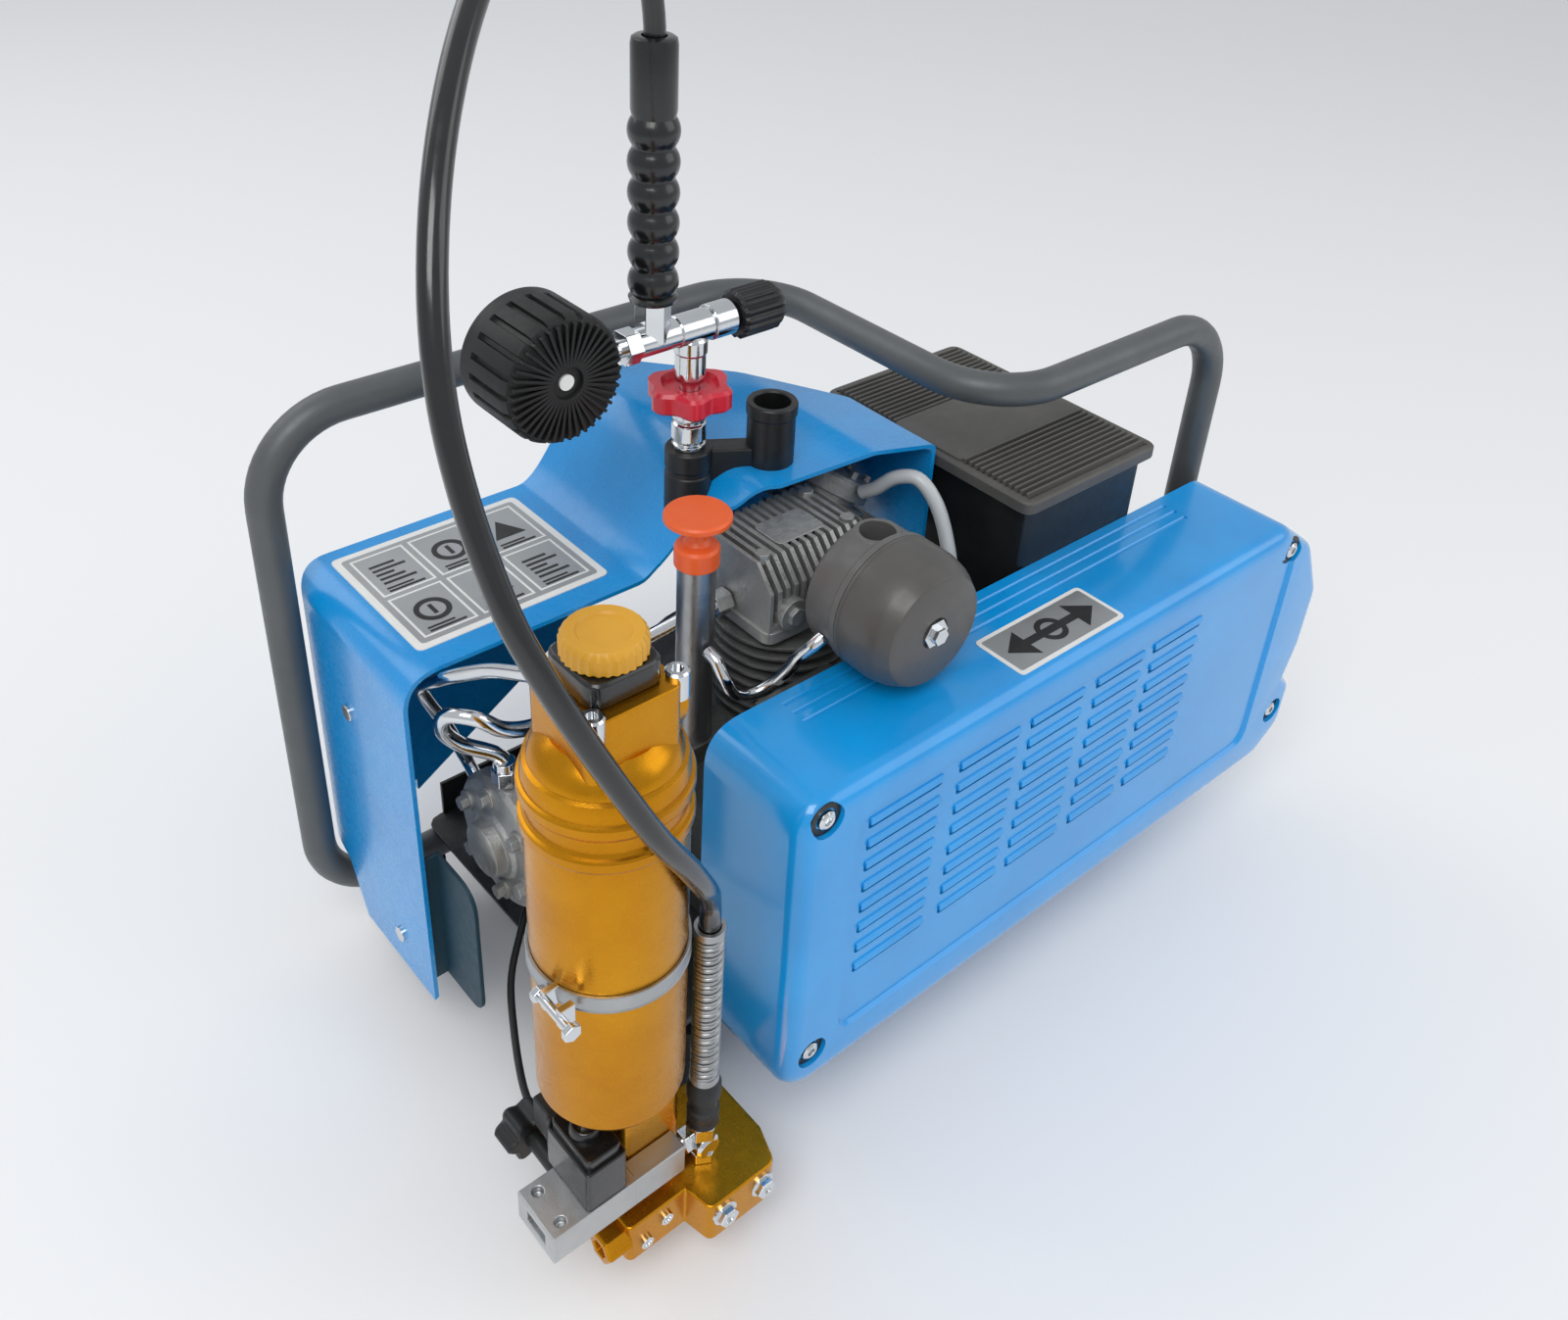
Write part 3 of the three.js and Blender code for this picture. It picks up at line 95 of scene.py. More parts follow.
def centripetal(points, steps):
    # smooth line through the points, its first and last stretches straight
    pts = [Vector(p) for p in points]
    inner = pts[1:-1]
    padded = [2 * inner[0] - inner[1]] + inner + [2 * inner[-1] - inner[-2]]
    fine = []
    for i in range(1, len(padded) - 2):
        p0, p1, p2, p3 = padded[i - 1:i + 3]
        t = [0.0]
        for a, b in ((p0, p1), (p1, p2), (p2, p3)):
            t.append(t[-1] + max((b - a).length, 1e-6) ** 0.5)
        for k in range(12):
            u = t[1] + (t[2] - t[1]) * k / 12
            a1 = (t[1] - u) / (t[1] - t[0]) * p0 + (u - t[0]) / (t[1] - t[0]) * p1
            a2 = (t[2] - u) / (t[2] - t[1]) * p1 + (u - t[1]) / (t[2] - t[1]) * p2
            a3 = (t[3] - u) / (t[3] - t[2]) * p2 + (u - t[2]) / (t[3] - t[2]) * p3
            b1 = (t[2] - u) / (t[2] - t[0]) * a1 + (u - t[0]) / (t[2] - t[0]) * a2
            b2 = (t[3] - u) / (t[3] - t[1]) * a2 + (u - t[1]) / (t[3] - t[1]) * a3
            fine.append((t[2] - u) / (t[2] - t[1]) * b1 + (u - t[1]) / (t[2] - t[1]) * b2)
    fine.append(inner[-1])
    run = [0.0]
    for a, b in zip(fine, fine[1:]):
        run.append(run[-1] + (b - a).length)
    out = [pts[0]]
    j = 0
    for k in range(steps + 1):
        want = run[-1] * k / steps
        while j < len(run) - 2 and run[j + 1] < want:
            j += 1
        f = (want - run[j]) / max(run[j + 1] - run[j], 1e-9)
        out.append(fine[j].lerp(fine[j + 1], f))
    return out + [pts[-1]]


def bentLine(corners, bend, steps=12):
    # straight runs joined by round bends
    p = [Vector(c) for c in corners]
    out = [p[0]]
    for i in range(1, len(p) - 1):
        back = (p[i - 1] - p[i]).normalized()
        on = (p[i + 1] - p[i]).normalized()
        half = back.angle(on) / 2
        far = bend / math.tan(half)
        middle = p[i] + (back + on).normalized() * (bend / math.sin(half))
        a = p[i] + back * far - middle
        b = p[i] + on * far - middle
        swing = a.angle(b)
        for k in range(steps + 1):
            t = k / steps
            out.append(middle + (a * math.sin((1 - t) * swing) + b * math.sin(t * swing)) / math.sin(swing))
    return out + [p[-1]]


def roundedLine(corners, steps=8):
    out = []
    count = len(corners)
    for i, corner in enumerate(corners):
        here = Vector(corner[:2])
        r = corner[2] if len(corner) > 2 else 0
        if r <= 0:
            out.append(tuple(here))
            continue
        back = (Vector(corners[i - 1][:2]) - here).normalized()
        on = (Vector(corners[(i + 1) % count][:2]) - here).normalized()
        half = back.angle(on) / 2
        far = r / math.tan(half)
        a, b = here + back * far, here + on * far
        for k in range(steps + 1):
            t = k / steps
            out.append(tuple(a * (1 - t) ** 2 + here * 2 * t * (1 - t) + b * t * t))
    return out


def oblong(u0, u1, v0, v1, r=0.0):
    return [(u0, v0, r), (u1, v0, r), (u1, v1, r), (u0, v1, r)]


def ringLine(r, sides, at=(0, 0), wave=None):
    out = []
    for i in range(sides):
        a = 2 * math.pi * i / sides
        q = r if wave is None else wave(a)
        out.append((at[0] + q * math.cos(a), at[1] + q * math.sin(a)))
    return out


def onAxis(axis, u, v, h):
    return {"x": (h, u, v), "y": (u, h, v), "z": (u, v, h)}[axis]


def addBox(bm, x0, x1, y0, y1, z0, z1):
    size = Matrix.Diagonal((abs(x1 - x0), abs(y1 - y0), abs(z1 - z0), 1))
    place = Matrix.Translation(((x0 + x1) / 2, (y0 + y1) / 2, (z0 + z1) / 2))
    return bmesh.ops.create_cube(bm, size=1, matrix=place @ size)["verts"]


def addRod(bm, axis, r, a, b, at, sides=32, rEnd=None):
    turn = {"x": Matrix.Rotation(math.pi / 2, 4, "Y"), "y": Matrix.Rotation(-math.pi / 2, 4, "X"),
            "z": Matrix.Identity(4)}[axis]
    place = Matrix.Translation(onAxis(axis, at[0], at[1], (a + b) / 2))
    made = bmesh.ops.create_cone(
        bm, cap_ends=True, segments=sides, radius1=r, radius2=r if rEnd is None else rEnd, depth=b - a,
        matrix=place @ turn
    )
    return made["verts"]


def addTurned(bm, axis, profile, at, sides=48):
    # a profile of (radius, place along the axis), spun all the way round
    start = [bm.verts.new(onAxis(axis, at[0] + r, at[1], h)) for r, h in profile]
    edges = [bm.edges.new((a, b)) for a, b in zip(start, start[1:])]
    way = {"x": (1, 0, 0), "y": (0, 1, 0), "z": (0, 0, 1)}[axis]
    bmesh.ops.spin(
        bm, geom=start + edges, cent=onAxis(axis, at[0], at[1], 0), axis=way, angle=2 * math.pi,
        steps=sides, use_merge=True
    )
    bmesh.ops.remove_doubles(bm, verts=bm.verts[:], dist=0.0005)


def addPrism(bm, axis, outline, a, b):
    verts = [bm.verts.new(onAxis(axis, u, v, a)) for u, v in outline]
    face = bm.faces.new(verts)
    made = bmesh.ops.extrude_face_region(bm, geom=[face])
    moved = [g for g in made["geom"] if isinstance(g, bmesh.types.BMVert)]
    bmesh.ops.translate(bm, verts=moved, vec=onAxis(axis, 0, 0, b - a))
    return moved


def addLoft(bm, axis, rings):
    # rings of (outline, place), all with the same count, joined in turn and closed at both ends
    loops = []
    for outline, h in rings:
        verts = [bm.verts.new(onAxis(axis, u, v, h)) for u, v in outline]
        loops.append([bm.edges.new((verts[i - 1], verts[i])) for i in range(len(verts))])
    for one, two in zip(loops, loops[1:]):
        bmesh.ops.bridge_loops(bm, edges=one + two)
    for loop in (loops[0], loops[-1]):
        bmesh.ops.contextual_create(bm, geom=loop)


def freshMesh(build):
    bm = bmesh.new()
    build(bm)
    bmesh.ops.remove_doubles(bm, verts=bm.verts[:], dist=0.0005)
    bmesh.ops.recalc_face_normals(bm, faces=bm.faces[:])
    mesh = bpy.data.meshes.new("shape")
    bm.to_mesh(mesh)
    bm.free()
    return mesh


def carve(mesh, build, how="DIFFERENCE"):
    # the mesh with another shape taken away, joined or kept in common
    body = bpy.data.objects.new("carved", mesh)
    tool = bpy.data.objects.new("tool", freshMesh(build))
    for o in (body, tool):
        bpy.context.scene.collection.objects.link(o)
    mod = body.modifiers.new("cut", "BOOLEAN")
    mod.operation = how
    mod.solver = "EXACT"
    mod.use_self = True
    mod.object = tool
    graph = bpy.context.evaluated_depsgraph_get()
    out = bpy.data.meshes.new_from_object(body.evaluated_get(graph))
    for o in (body, tool):
        data = o.data
        bpy.data.objects.remove(o)
        bpy.data.meshes.remove(data)
    return out


def pipeMesh(line, r, sides=20, caps=True):
    data = bpy.data.curves.new("line", "CURVE")
    data.dimensions = "3D"
    data.bevel_depth = r
    data.bevel_resolution = max(1, sides // 4 - 1)
    data.use_fill_caps = caps
    spline = data.splines.new("POLY")
    spline.points.add(len(line) - 1)
    for point, p in zip(spline.points, line):
        point.co = (*p, 1)
    holder = bpy.data.objects.new("line", data)
    bpy.context.scene.collection.objects.link(holder)
    graph = bpy.context.evaluated_depsgraph_get()
    mesh = bpy.data.meshes.new_from_object(holder.evaluated_get(graph))
    bpy.data.objects.remove(holder)
    bpy.data.curves.remove(data)
    return mesh


def settle(mesh, name, finish, body="chassis", stands=(), soft=30, bevel=0.0, slot=None):
    bm = bmesh.new()
    bm.from_mesh(mesh)
    bmesh.ops.remove_doubles(bm, verts=bm.verts[:], dist=0.0005)
    bmesh.ops.dissolve_degenerate(bm, edges=bm.edges[:], dist=0.0002)
    bmesh.ops.translate(bm, verts=bm.verts[:], vec=-layoutMiddle)
    bmesh.ops.scale(bm, verts=bm.verts[:], vec=(mm, mm, mm))
    out = bpy.data.meshes.new(name)
    bm.to_mesh(out)
    bm.free()
    bpy.data.meshes.remove(mesh)
    out.shade_smooth()
    out.set_sharp_from_angle(angle=math.radians(soft))
    for m in finish if isinstance(finish, (list, tuple)) else [finish]:
        out.materials.append(m)
    obj = bpy.data.objects.new(name, out)
    bpy.context.scene.collection.objects.link(obj)
    if bevel:
        mod = obj.modifiers.new("edges", "BEVEL")
        mod.width = bevel * mm
        mod.segments = 3
        mod.limit_method = "ANGLE"
        mod.angle_limit = math.radians(32)
        mod.harden_normals = True
    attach(obj, body)
    if stands:
        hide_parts(*([stands] if isinstance(stands, str) else stands))
    return obj


def piece(build, name, finish, **rest):
    return settle(freshMesh(build), name, finish, **rest)


# the fill hose: from the spring guard up and over to the grip
hoseLook = {"diameter": 12.0, "steps": 110}
hoseLine = [
    (-234, -183, 237), (-234, -183, 252), (-234, -183, 268), (-236, -185, 284), (-243, -192, 303),
    (-254, -201, 323),
    (-269, -207, 350), (-287, -209, 380), (-302, -205, 411), (-316, -198, 443), (-328, -189, 474),
    (-337, -179, 503),
    (-341, -168, 530), (-343, -158, 556), (-343, -148, 586), (-339, -138, 616), (-329, -124, 645),
    (-313, -105, 671),
    (-291, -83, 697), (-264, -59, 719), (-232, -34, 735), (-197, -10, 741), (-163, 9, 733), (-136, 21, 713),
    (-121, 26.5, 688), (-116, 28, 664), (-116, 28, 648), (-116, 28, 636),
]


def makeHose():
    line = centripetal(hoseLine, hoseLook["steps"])
    data = bpy.data.curves.new("fillHose", "CURVE")
    data.dimensions = "3D"
    data.bevel_depth = hoseLook["diameter"] / 2 * mm
    data.bevel_resolution = 5
    data.use_fill_caps = True
    spline = data.splines.new("POLY")
    spline.points.add(len(line) - 1)
    for point, p in zip(spline.points, line):
        point.co = (*toFrame(p), 1)
    spline.use_smooth = True
    obj = bpy.data.objects.new("fillHose", data)
    bpy.context.scene.collection.objects.link(obj)
    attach(obj, "chassis")
    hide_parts("fill_hose")
    return obj


hosePiece = makeHose()


# effects shared by several finishes
def groupStart(name, inputs, outputs):
    tree = bpy.data.node_groups.new(name, "ShaderNodeTree")
    for label, value in inputs:
        socket = tree.interface.new_socket(name=label, in_out="INPUT", socket_type="NodeSocketFloat")
        socket.default_value = value
    for label in outputs:
        tree.interface.new_socket(name=label, in_out="OUTPUT", socket_type="NodeSocketFloat")
    return tree, tree.nodes.new("NodeGroupInput"), tree.nodes.new("NodeGroupOutput")


def wire(tree, source, target):
    tree.links.new(source, target)


def mathNode(tree, how, first, second, clamp=False):
    node = tree.nodes.new("ShaderNodeMath")
    node.operation = how
    node.use_clamp = clamp
    for socket, value in ((node.inputs[0], first), (node.inputs[1], second)):
        if isinstance(value, (int, float)):
            socket.default_value = value
        elif value is not None:
            wire(tree, value, socket)
    return node.outputs[0]


def rampNode(tree, source, low, high):
    node = tree.nodes.new("ShaderNodeMapRange")
    node.inputs["From Min"].default_value = low
    node.inputs["From Max"].default_value = high
    wire(tree, source, node.inputs["Value"])
    return node.outputs["Result"]


def noiseNode(tree, coords, scale, detail=4.0, rough=0.55, stretch=None):
    if stretch:
        mapping = tree.nodes.new("ShaderNodeMapping")
        mapping.inputs["Scale"].default_value = stretch
        wire(tree, coords, mapping.inputs["Vector"])
        coords = mapping.outputs["Vector"]
    node = tree.nodes.new("ShaderNodeTexNoise")
    node.inputs["Detail"].default_value = detail
    node.inputs["Roughness"].default_value = rough
    if isinstance(scale, (int, float)):
        node.inputs["Scale"].default_value = scale
    else:
        wire(tree, scale, node.inputs["Scale"])
    wire(tree, coords, node.inputs["Vector"])
    return node.outputs["Fac"]


def makeMottle():
    # slow cloudy change over a surface, with fine breakup on top
    tree, ins, outs = groupStart("mottle", [("Scale", 14.0), ("Contrast", 1.0)], ["Cloud", "Fine"])
    coords = tree.nodes.new("ShaderNodeTexCoord").outputs["Object"]
    cloud = noiseNode(tree, coords, ins.outputs["Scale"], 5.0, 0.6)
    wire(tree, mathNode(tree, "MULTIPLY", rampNode(tree, cloud, 0.32, 0.68), ins.outputs["Contrast"], True),
         outs.inputs["Cloud"])
    quick = mathNode(tree, "MULTIPLY", ins.outputs["Scale"], 9.0)
    wire(tree, rampNode(tree, noiseNode(tree, coords, quick, 3.0, 0.5), 0.3, 0.7), outs.inputs["Fine"])
    return tree


def makeEdgeWearAndHighlight():
    # lighter along the corners: partly rubbed wear, partly a painted edge highlight that makes them look rounded
    tree, ins, outs = groupStart("edgeWearAndHighlight", [("Width", 0.0012), ("Breakup", 60.0)], ["Mask"])
    coords = tree.nodes.new("ShaderNodeTexCoord").outputs["Object"]
    bevel = tree.nodes.new("ShaderNodeBevel")
    bevel.samples = 4
    wire(tree, ins.outputs["Width"], bevel.inputs["Radius"])
    flat = tree.nodes.new("ShaderNodeNewGeometry").outputs["Normal"]
    dot = tree.nodes.new("ShaderNodeVectorMath")
    dot.operation = "DOT_PRODUCT"
    wire(tree, bevel.outputs["Normal"], dot.inputs[0])
    wire(tree, flat, dot.inputs[1])
    edge = rampNode(tree, mathNode(tree, "SUBTRACT", 1.0, dot.outputs["Value"]), 0.02, 0.16)
    broken = rampNode(tree, noiseNode(tree, coords, ins.outputs["Breakup"], 5.0, 0.65), 0.44, 0.62)
    wire(tree, mathNode(tree, "MULTIPLY", edge, broken, True), outs.inputs["Mask"])
    return tree


def makeDust():
    # settles on what faces up, in noise patches
    tree, ins, outs = groupStart("settledDust", [("Amount", 0.3), ("Scale", 25.0)], ["Mask"])
    coords = tree.nodes.new("ShaderNodeTexCoord").outputs["Object"]
    split = tree.nodes.new("ShaderNodeSeparateXYZ")
    wire(tree, tree.nodes.new("ShaderNodeNewGeometry").outputs["Normal"], split.inputs[0])
    up = rampNode(tree, split.outputs["Z"], 0.35, 1.0)
    patch = rampNode(tree, noiseNode(tree, coords, ins.outputs["Scale"], 6.0, 0.7), 0.38, 0.75)
    wire(tree, mathNode(tree, "MULTIPLY", mathNode(tree, "MULTIPLY", up, patch), ins.outputs["Amount"],
                        True), outs.inputs["Mask"])
    return tree


def makeGrain():
    # height of a moulded, cast or sprayed skin
    tree, ins, outs = groupStart("grain", [("Scale", 900.0), ("Waves", 60.0)], ["Height"])
    coords = tree.nodes.new("ShaderNodeTexCoord").outputs["Object"]
    fine = noiseNode(tree, coords, ins.outputs["Scale"], 2.0, 0.5)
    slow = noiseNode(tree, coords, ins.outputs["Waves"], 2.0, 0.5)
    wire(tree, mathNode(tree, "ADD", fine, mathNode(tree, "MULTIPLY", slow, 1.5)), outs.inputs["Height"])
    return tree


def makeLines():
    # fine turning or brushing lines along one direction
    tree, ins, outs = groupStart("toolLines", [("X", 4.0), ("Y", 4.0), ("Z", 900.0)], ["Height"])
    coords = tree.nodes.new("ShaderNodeTexCoord").outputs["Object"]
    join = tree.nodes.new("ShaderNodeCombineXYZ")
    for axis in "XYZ":
        wire(tree, ins.outputs[axis], join.inputs[axis])
    scaled = tree.nodes.new("ShaderNodeVectorMath")
    scaled.operation = "MULTIPLY"
    wire(tree, coords, scaled.inputs[0])
    wire(tree, join.outputs[0], scaled.inputs[1])
    wire(tree, noiseNode(tree, scaled.outputs[0], 1.0, 3.0, 0.6), outs.inputs["Height"])
    return tree


mottle, edgeWearAndHighlight, settledDust, grain, toolLines = makeMottle(), makeEdgeWearAndHighlight(), makeDust(), makeGrain(), makeLines()


def linear(hexText):
    out = []
    for i in (0, 2, 4):
        c = int(hexText[i:i + 2], 16) / 255
        out.append(c / 12.92 if c <= 0.04045 else ((c + 0.055) / 1.055) ** 2.4)
    return (*out, 1.0)


def mixColour(tree, mask, first, second):
    node = tree.nodes.new("ShaderNodeMix")
    node.data_type = "RGBA"
    wire(tree, mask, node.inputs[0])
    for socket, value in ((node.inputs[6], first), (node.inputs[7], second)):
        if isinstance(value, tuple):
            socket.default_value = value
        else:
            wire(tree, value, socket)
    return node.outputs[2]


def finish(name, colour, shade, rough, metal=0.0, coat=0.0, spread=0.12, cloud=14.0, grainSize=900.0,
           waves=60.0, bump=0.05,
           deep=0.0004, wornAndLitEdge=None, wearAndHighlightWidth=0.0010, wearAndHighlightAmount=0.5, dust=0.25, lines=None, glow=0.5):
    mat = bpy.data.materials.new(name)
    mat.use_nodes = True
    tree = mat.node_tree
    shader = tree.nodes["Principled BSDF"]
    shader.inputs["Metallic"].default_value = metal
    shader.inputs["Coat Weight"].default_value = coat
    shader.inputs["Coat Roughness"].default_value = 0.12
    shader.inputs["Specular IOR Level"].default_value = glow

    def placed(group, **values):
        node = tree.nodes.new("ShaderNodeGroup")
        node.node_tree = group
        for key, value in values.items():
            node.inputs[key].default_value = value
        return node

    clouds = placed(mottle, Scale=cloud)
    skin = placed(grain, Scale=grainSize, Waves=waves)
    base = mixColour(tree, clouds.outputs["Cloud"], linear(colour), linear(shade))
    roughness = mathNode(tree, "ADD", rough, mathNode(tree, "MULTIPLY", clouds.outputs["Fine"], spread))
    if dust:
        settled = placed(settledDust, Amount=dust)
        base = mixColour(tree, settled.outputs["Mask"], base, linear("a9a69e"))
        roughness = mathNode(tree, "ADD", roughness, mathNode(tree, "MULTIPLY", settled.outputs["Mask"],
                                                              0.3), True)
    # the corner colour is partly wear and partly a painted highlight that makes the edges look rounded
    if wornAndLitEdge:
        rubbedAndLitEdge = placed(edgeWearAndHighlight, Width=wearAndHighlightWidth)
        mask = mathNode(tree, "MULTIPLY", rubbedAndLitEdge.outputs["Mask"], wearAndHighlightAmount)
        base = mixColour(tree, mask, base, linear(wornAndLitEdge))
    wire(tree, base, shader.inputs["Base Color"])
    wire(tree, roughness, shader.inputs["Roughness"])
    height = skin.outputs["Height"]
    if lines:
        drawn = placed(toolLines, X=lines[0], Y=lines[1], Z=lines[2])
        height = mathNode(tree, "ADD", height, mathNode(tree, "MULTIPLY", drawn.outputs["Height"], 1.6))
    bumped = tree.nodes.new("ShaderNodeBump")
    bumped.inputs["Strength"].default_value = bump
    bumped.inputs["Distance"].default_value = deep
    wire(tree, height, bumped.inputs["Height"])
    wire(tree, bumped.outputs["Normal"], shader.inputs["Normal"])
    return mat


# each finish's edge colour is a lighter tint of its base: partly wear, partly a painted edge highlight
bluePaint = finish("bluePaint", "009be6", "0090da", 0.20, coat=0.6, spread=0.06, waves=26, bump=0.05,
                   wornAndLitEdge="5fbdf0", wearAndHighlightAmount=0.15, dust=0.03)
blueSheet = finish("blueSheet", "0098e2", "008cd4", 0.24, coat=0.45, spread=0.08, waves=34, bump=0.05,
                   wornAndLitEdge="5fbdf0", wearAndHighlightAmount=0.2, dust=0.04)
# dark teal copy of the blue paint: painted shade for the cowl surface that sits in shadow inside the opening
shadedBlueSheet = finish("shadedBlueSheet", "0b3a4a", "0a3040", 0.5, dust=0.1, wornAndLitEdge="2c5c6e", wearAndHighlightAmount=0.3)
frameCoat = finish("frameCoat", "5d6061", "525657", 0.36, metal=0.2, spread=0.12, grainSize=1500, bump=0.2,
                   wornAndLitEdge="8c9091", dust=0.06)
blackSteel = finish("blackSteel", "1f2122", "191b1c", 0.46, metal=0.1, grainSize=1400, bump=0.3,
                    wornAndLitEdge="5b5e60", dust=0.22)
blackPlastic = finish("blackPlastic", "161718", "111213", 0.36, grainSize=1100, bump=0.12, wornAndLitEdge="3c3e41",
                      dust=0.05)
glossBlack = finish("glossBlack", "111213", "0d0e0f", 0.20, coat=0.3, grainSize=500, bump=0.05, dust=0.03)
rubberBlack = finish("rubberBlack", "131414", "0f1010", 0.46, grainSize=1300, bump=0.15, dust=0.05)
hoseRubber = finish("hoseRubber", "0c0d0e", "090a0b", 0.16, coat=0.5, grainSize=500, bump=0.05, dust=0.02)
lidPlastic = finish("lidPlastic", "565451", "4c4a47", 0.44, grainSize=1000, bump=0.2, wornAndLitEdge="807d79",
                    dust=0.08)
drumPlastic = finish("drumPlastic", "636261", "595857", 0.34, coat=0.1, grainSize=900, bump=0.1,
                     wornAndLitEdge="8b8985", dust=0.05)
# darker copy of the drum plastic: painted shade for the front cover, whose face looks dark in shade
drumPlasticShaded = finish("drumPlasticShaded", "54524f", "4b4947", 0.34, coat=0.1, grainSize=900, bump=0.1, wornAndLitEdge="7b7876",
                  dust=0.05)
castAlloy = finish("castAlloy", "b4b5b3", "9a9b99", 0.40, metal=0.75, spread=0.2, cloud=22, grainSize=520,
                   waves=140, bump=0.55, deep=0.0006, wornAndLitEdge="dcdcd8", dust=0.2)
# darker copy of the cast alloy: painted shade for parts that sit in shadow behind the guard and inside the cowl
shadedAlloy = finish("shadedAlloy", "6e706f", "5c5e5d", 0.46, metal=0.7, spread=0.2, cloud=20, grainSize=520,
                   waves=140, bump=0.5, deep=0.0006, wornAndLitEdge="a8a9a6", dust=0.22)
plainSteel = finish("plainSteel", "b0b2b3", "9b9d9f", 0.28, metal=0.95, spread=0.14, lines=(9, 9, 500),
                    bump=0.2, wornAndLitEdge="d8dadb", dust=0.1)
brightChrome = finish("brightChrome", "dfe1e3", "cfd2d5", 0.07, metal=1.0, spread=0.07, waves=18, bump=0.06,
                      dust=0.05)
bareAluminium = finish("bareAluminium", "c3c5c6", "b1b3b4", 0.30, metal=0.9, spread=0.14, lines=(6, 6, 700),
                       bump=0.25, wornAndLitEdge="e2e3e4", dust=0.12)
goldAnodised = finish("goldAnodised", "cf8f14", "bd7c0a", 0.22, metal=0.9, spread=0.10, lines=(5, 5, 900),
                      bump=0.10, wornAndLitEdge="eab845", wearAndHighlightAmount=0.3, dust=0.03)
goldPlastic = finish("goldPlastic", "dba22a", "cf9622", 0.34, grainSize=900, bump=0.1, wornAndLitEdge="efc040",
                     dust=0.03)
orangePlastic = finish("orangePlastic", "f2682e", "e85c24", 0.32, grainSize=900, bump=0.1, wornAndLitEdge="f98a55",
                       dust=0.03)
redPlastic = finish("redPlastic", "d41f38", "c2182e", 0.26, coat=0.2, grainSize=900, bump=0.08,
                    wornAndLitEdge="e84a5c", dust=0.02)
whitePaint = finish("whitePaint", "efefec", "e6e6e2", 0.38, grainSize=900, bump=0.08, dust=0.1)
blackPrint = finish("blackPrint", "1b1c1e", "161719", 0.4, grainSize=900, bump=0.05, dust=0.05)
paperCream = finish("paperCream", "e6dfc8", "d8cfb4", 0.85, grainSize=1200, bump=0.4, dust=0.2)
silverPlate = finish("silverPlate", "b9bcbd", "adb0b2", 0.30, metal=0.7, lines=(700, 6, 6), bump=0.2,
                     dust=0.12)
milkyHose = finish("milkyHose", "c9cccd", "bcc0c2", 0.30, spread=0.1, coat=0.2, grainSize=400, bump=0.1,
                   dust=0.08)


def makeGlass():
    mat = bpy.data.materials.new("gaugeGlass")
    mat.use_nodes = True
    shader = mat.node_tree.nodes["Principled BSDF"]
    shader.inputs["Base Color"].default_value = (1, 1, 1, 1)
    shader.inputs["Transmission Weight"].default_value = 1.0
    shader.inputs["IOR"].default_value = 1.05
    shader.inputs["Roughness"].default_value = 0.02
    return mat


gaugeGlass = makeGlass()
hosePiece.data.materials.append(hoseRubber)
print("stage: finishes")


def copyOf(node, name, finishes, bevel=0.6, flat=1.2, **rest):
    # the machine's own node, merged and with softened edges
    bm = bmesh.new()
    bm.from_mesh(frame["nodes"][node].data)
    bmesh.ops.remove_doubles(bm, verts=bm.verts[:], dist=2e-6)
    bmesh.ops.dissolve_limit(bm, angle_limit=math.radians(flat), verts=bm.verts[:], edges=bm.edges[:])
    bmesh.ops.scale(bm, verts=bm.verts[:], vec=(1000, 1000, 1000))
    bmesh.ops.translate(bm, verts=bm.verts[:], vec=layoutMiddle)
    mesh = bpy.data.meshes.new(name)
    bm.to_mesh(mesh)
    bm.free()
    return settle(mesh, name, finishes, stands=node, bevel=bevel, **rest)


# the bent-tube carrying frame
tubeLook = {"r": 11, "left": -310, "right": 310, "rear": 150, "front": -83, "jog": 68, "top": 434,
            "bottom": 53, "bend": 55}


def makeTubeFrame(look):
    left, right, rear, front, jog = look["left"], look["right"], look["rear"], look["front"], look["jog"]
    top, bottom, span = look["top"], look["bottom"], look["right"] - look["left"]
    corners = [
        (left + span * 0.92, rear, bottom), (left, rear, bottom), (left, rear, top), (jog, rear, top),
        (jog, front, top), (right, front, top), (right, front, bottom),
        (right - span * 0.81, front, bottom),
    ]
    line = bentLine(corners, look["bend"], 14)
    settle(pipeMesh(line, look["r"], 32), "tubeFrame", frameCoat, stands="carry_frame", soft=50,
           slot="frame_paint")


makeTubeFrame(tubeLook)

copyOf("base_plate", "basePlate", blackSteel, bevel=0.8, slot="black_steel")
footLook = {"r": 16, "top": 41.7, "waist": 3.5}


def makeFoot(node, at):
    r, top, waist = footLook["r"], footLook["top"], footLook["waist"]
    profile = [(0, 0), (r - 1.2, 0), (r, 1.2), (r, 3), (r - waist, 8.5), (r - waist, top - 8),
               (r, top - 3.5), (r, top), (0, top)]
    piece(lambda bm: addTurned(bm, "z", profile, at, 40), node + "Rubber", rubberBlack, stands=node,
          bevel=0.5, slot="rubber")


for footName, footPlace in {"foot_rear_left": (-235, 150), "foot_rear_right": (225, 150),
                            "foot_front_left": (-165, -83),
                            "foot_front_right": (238, -83)}.items():
    makeFoot(footName, footPlace)
print("stage: frame and feet")

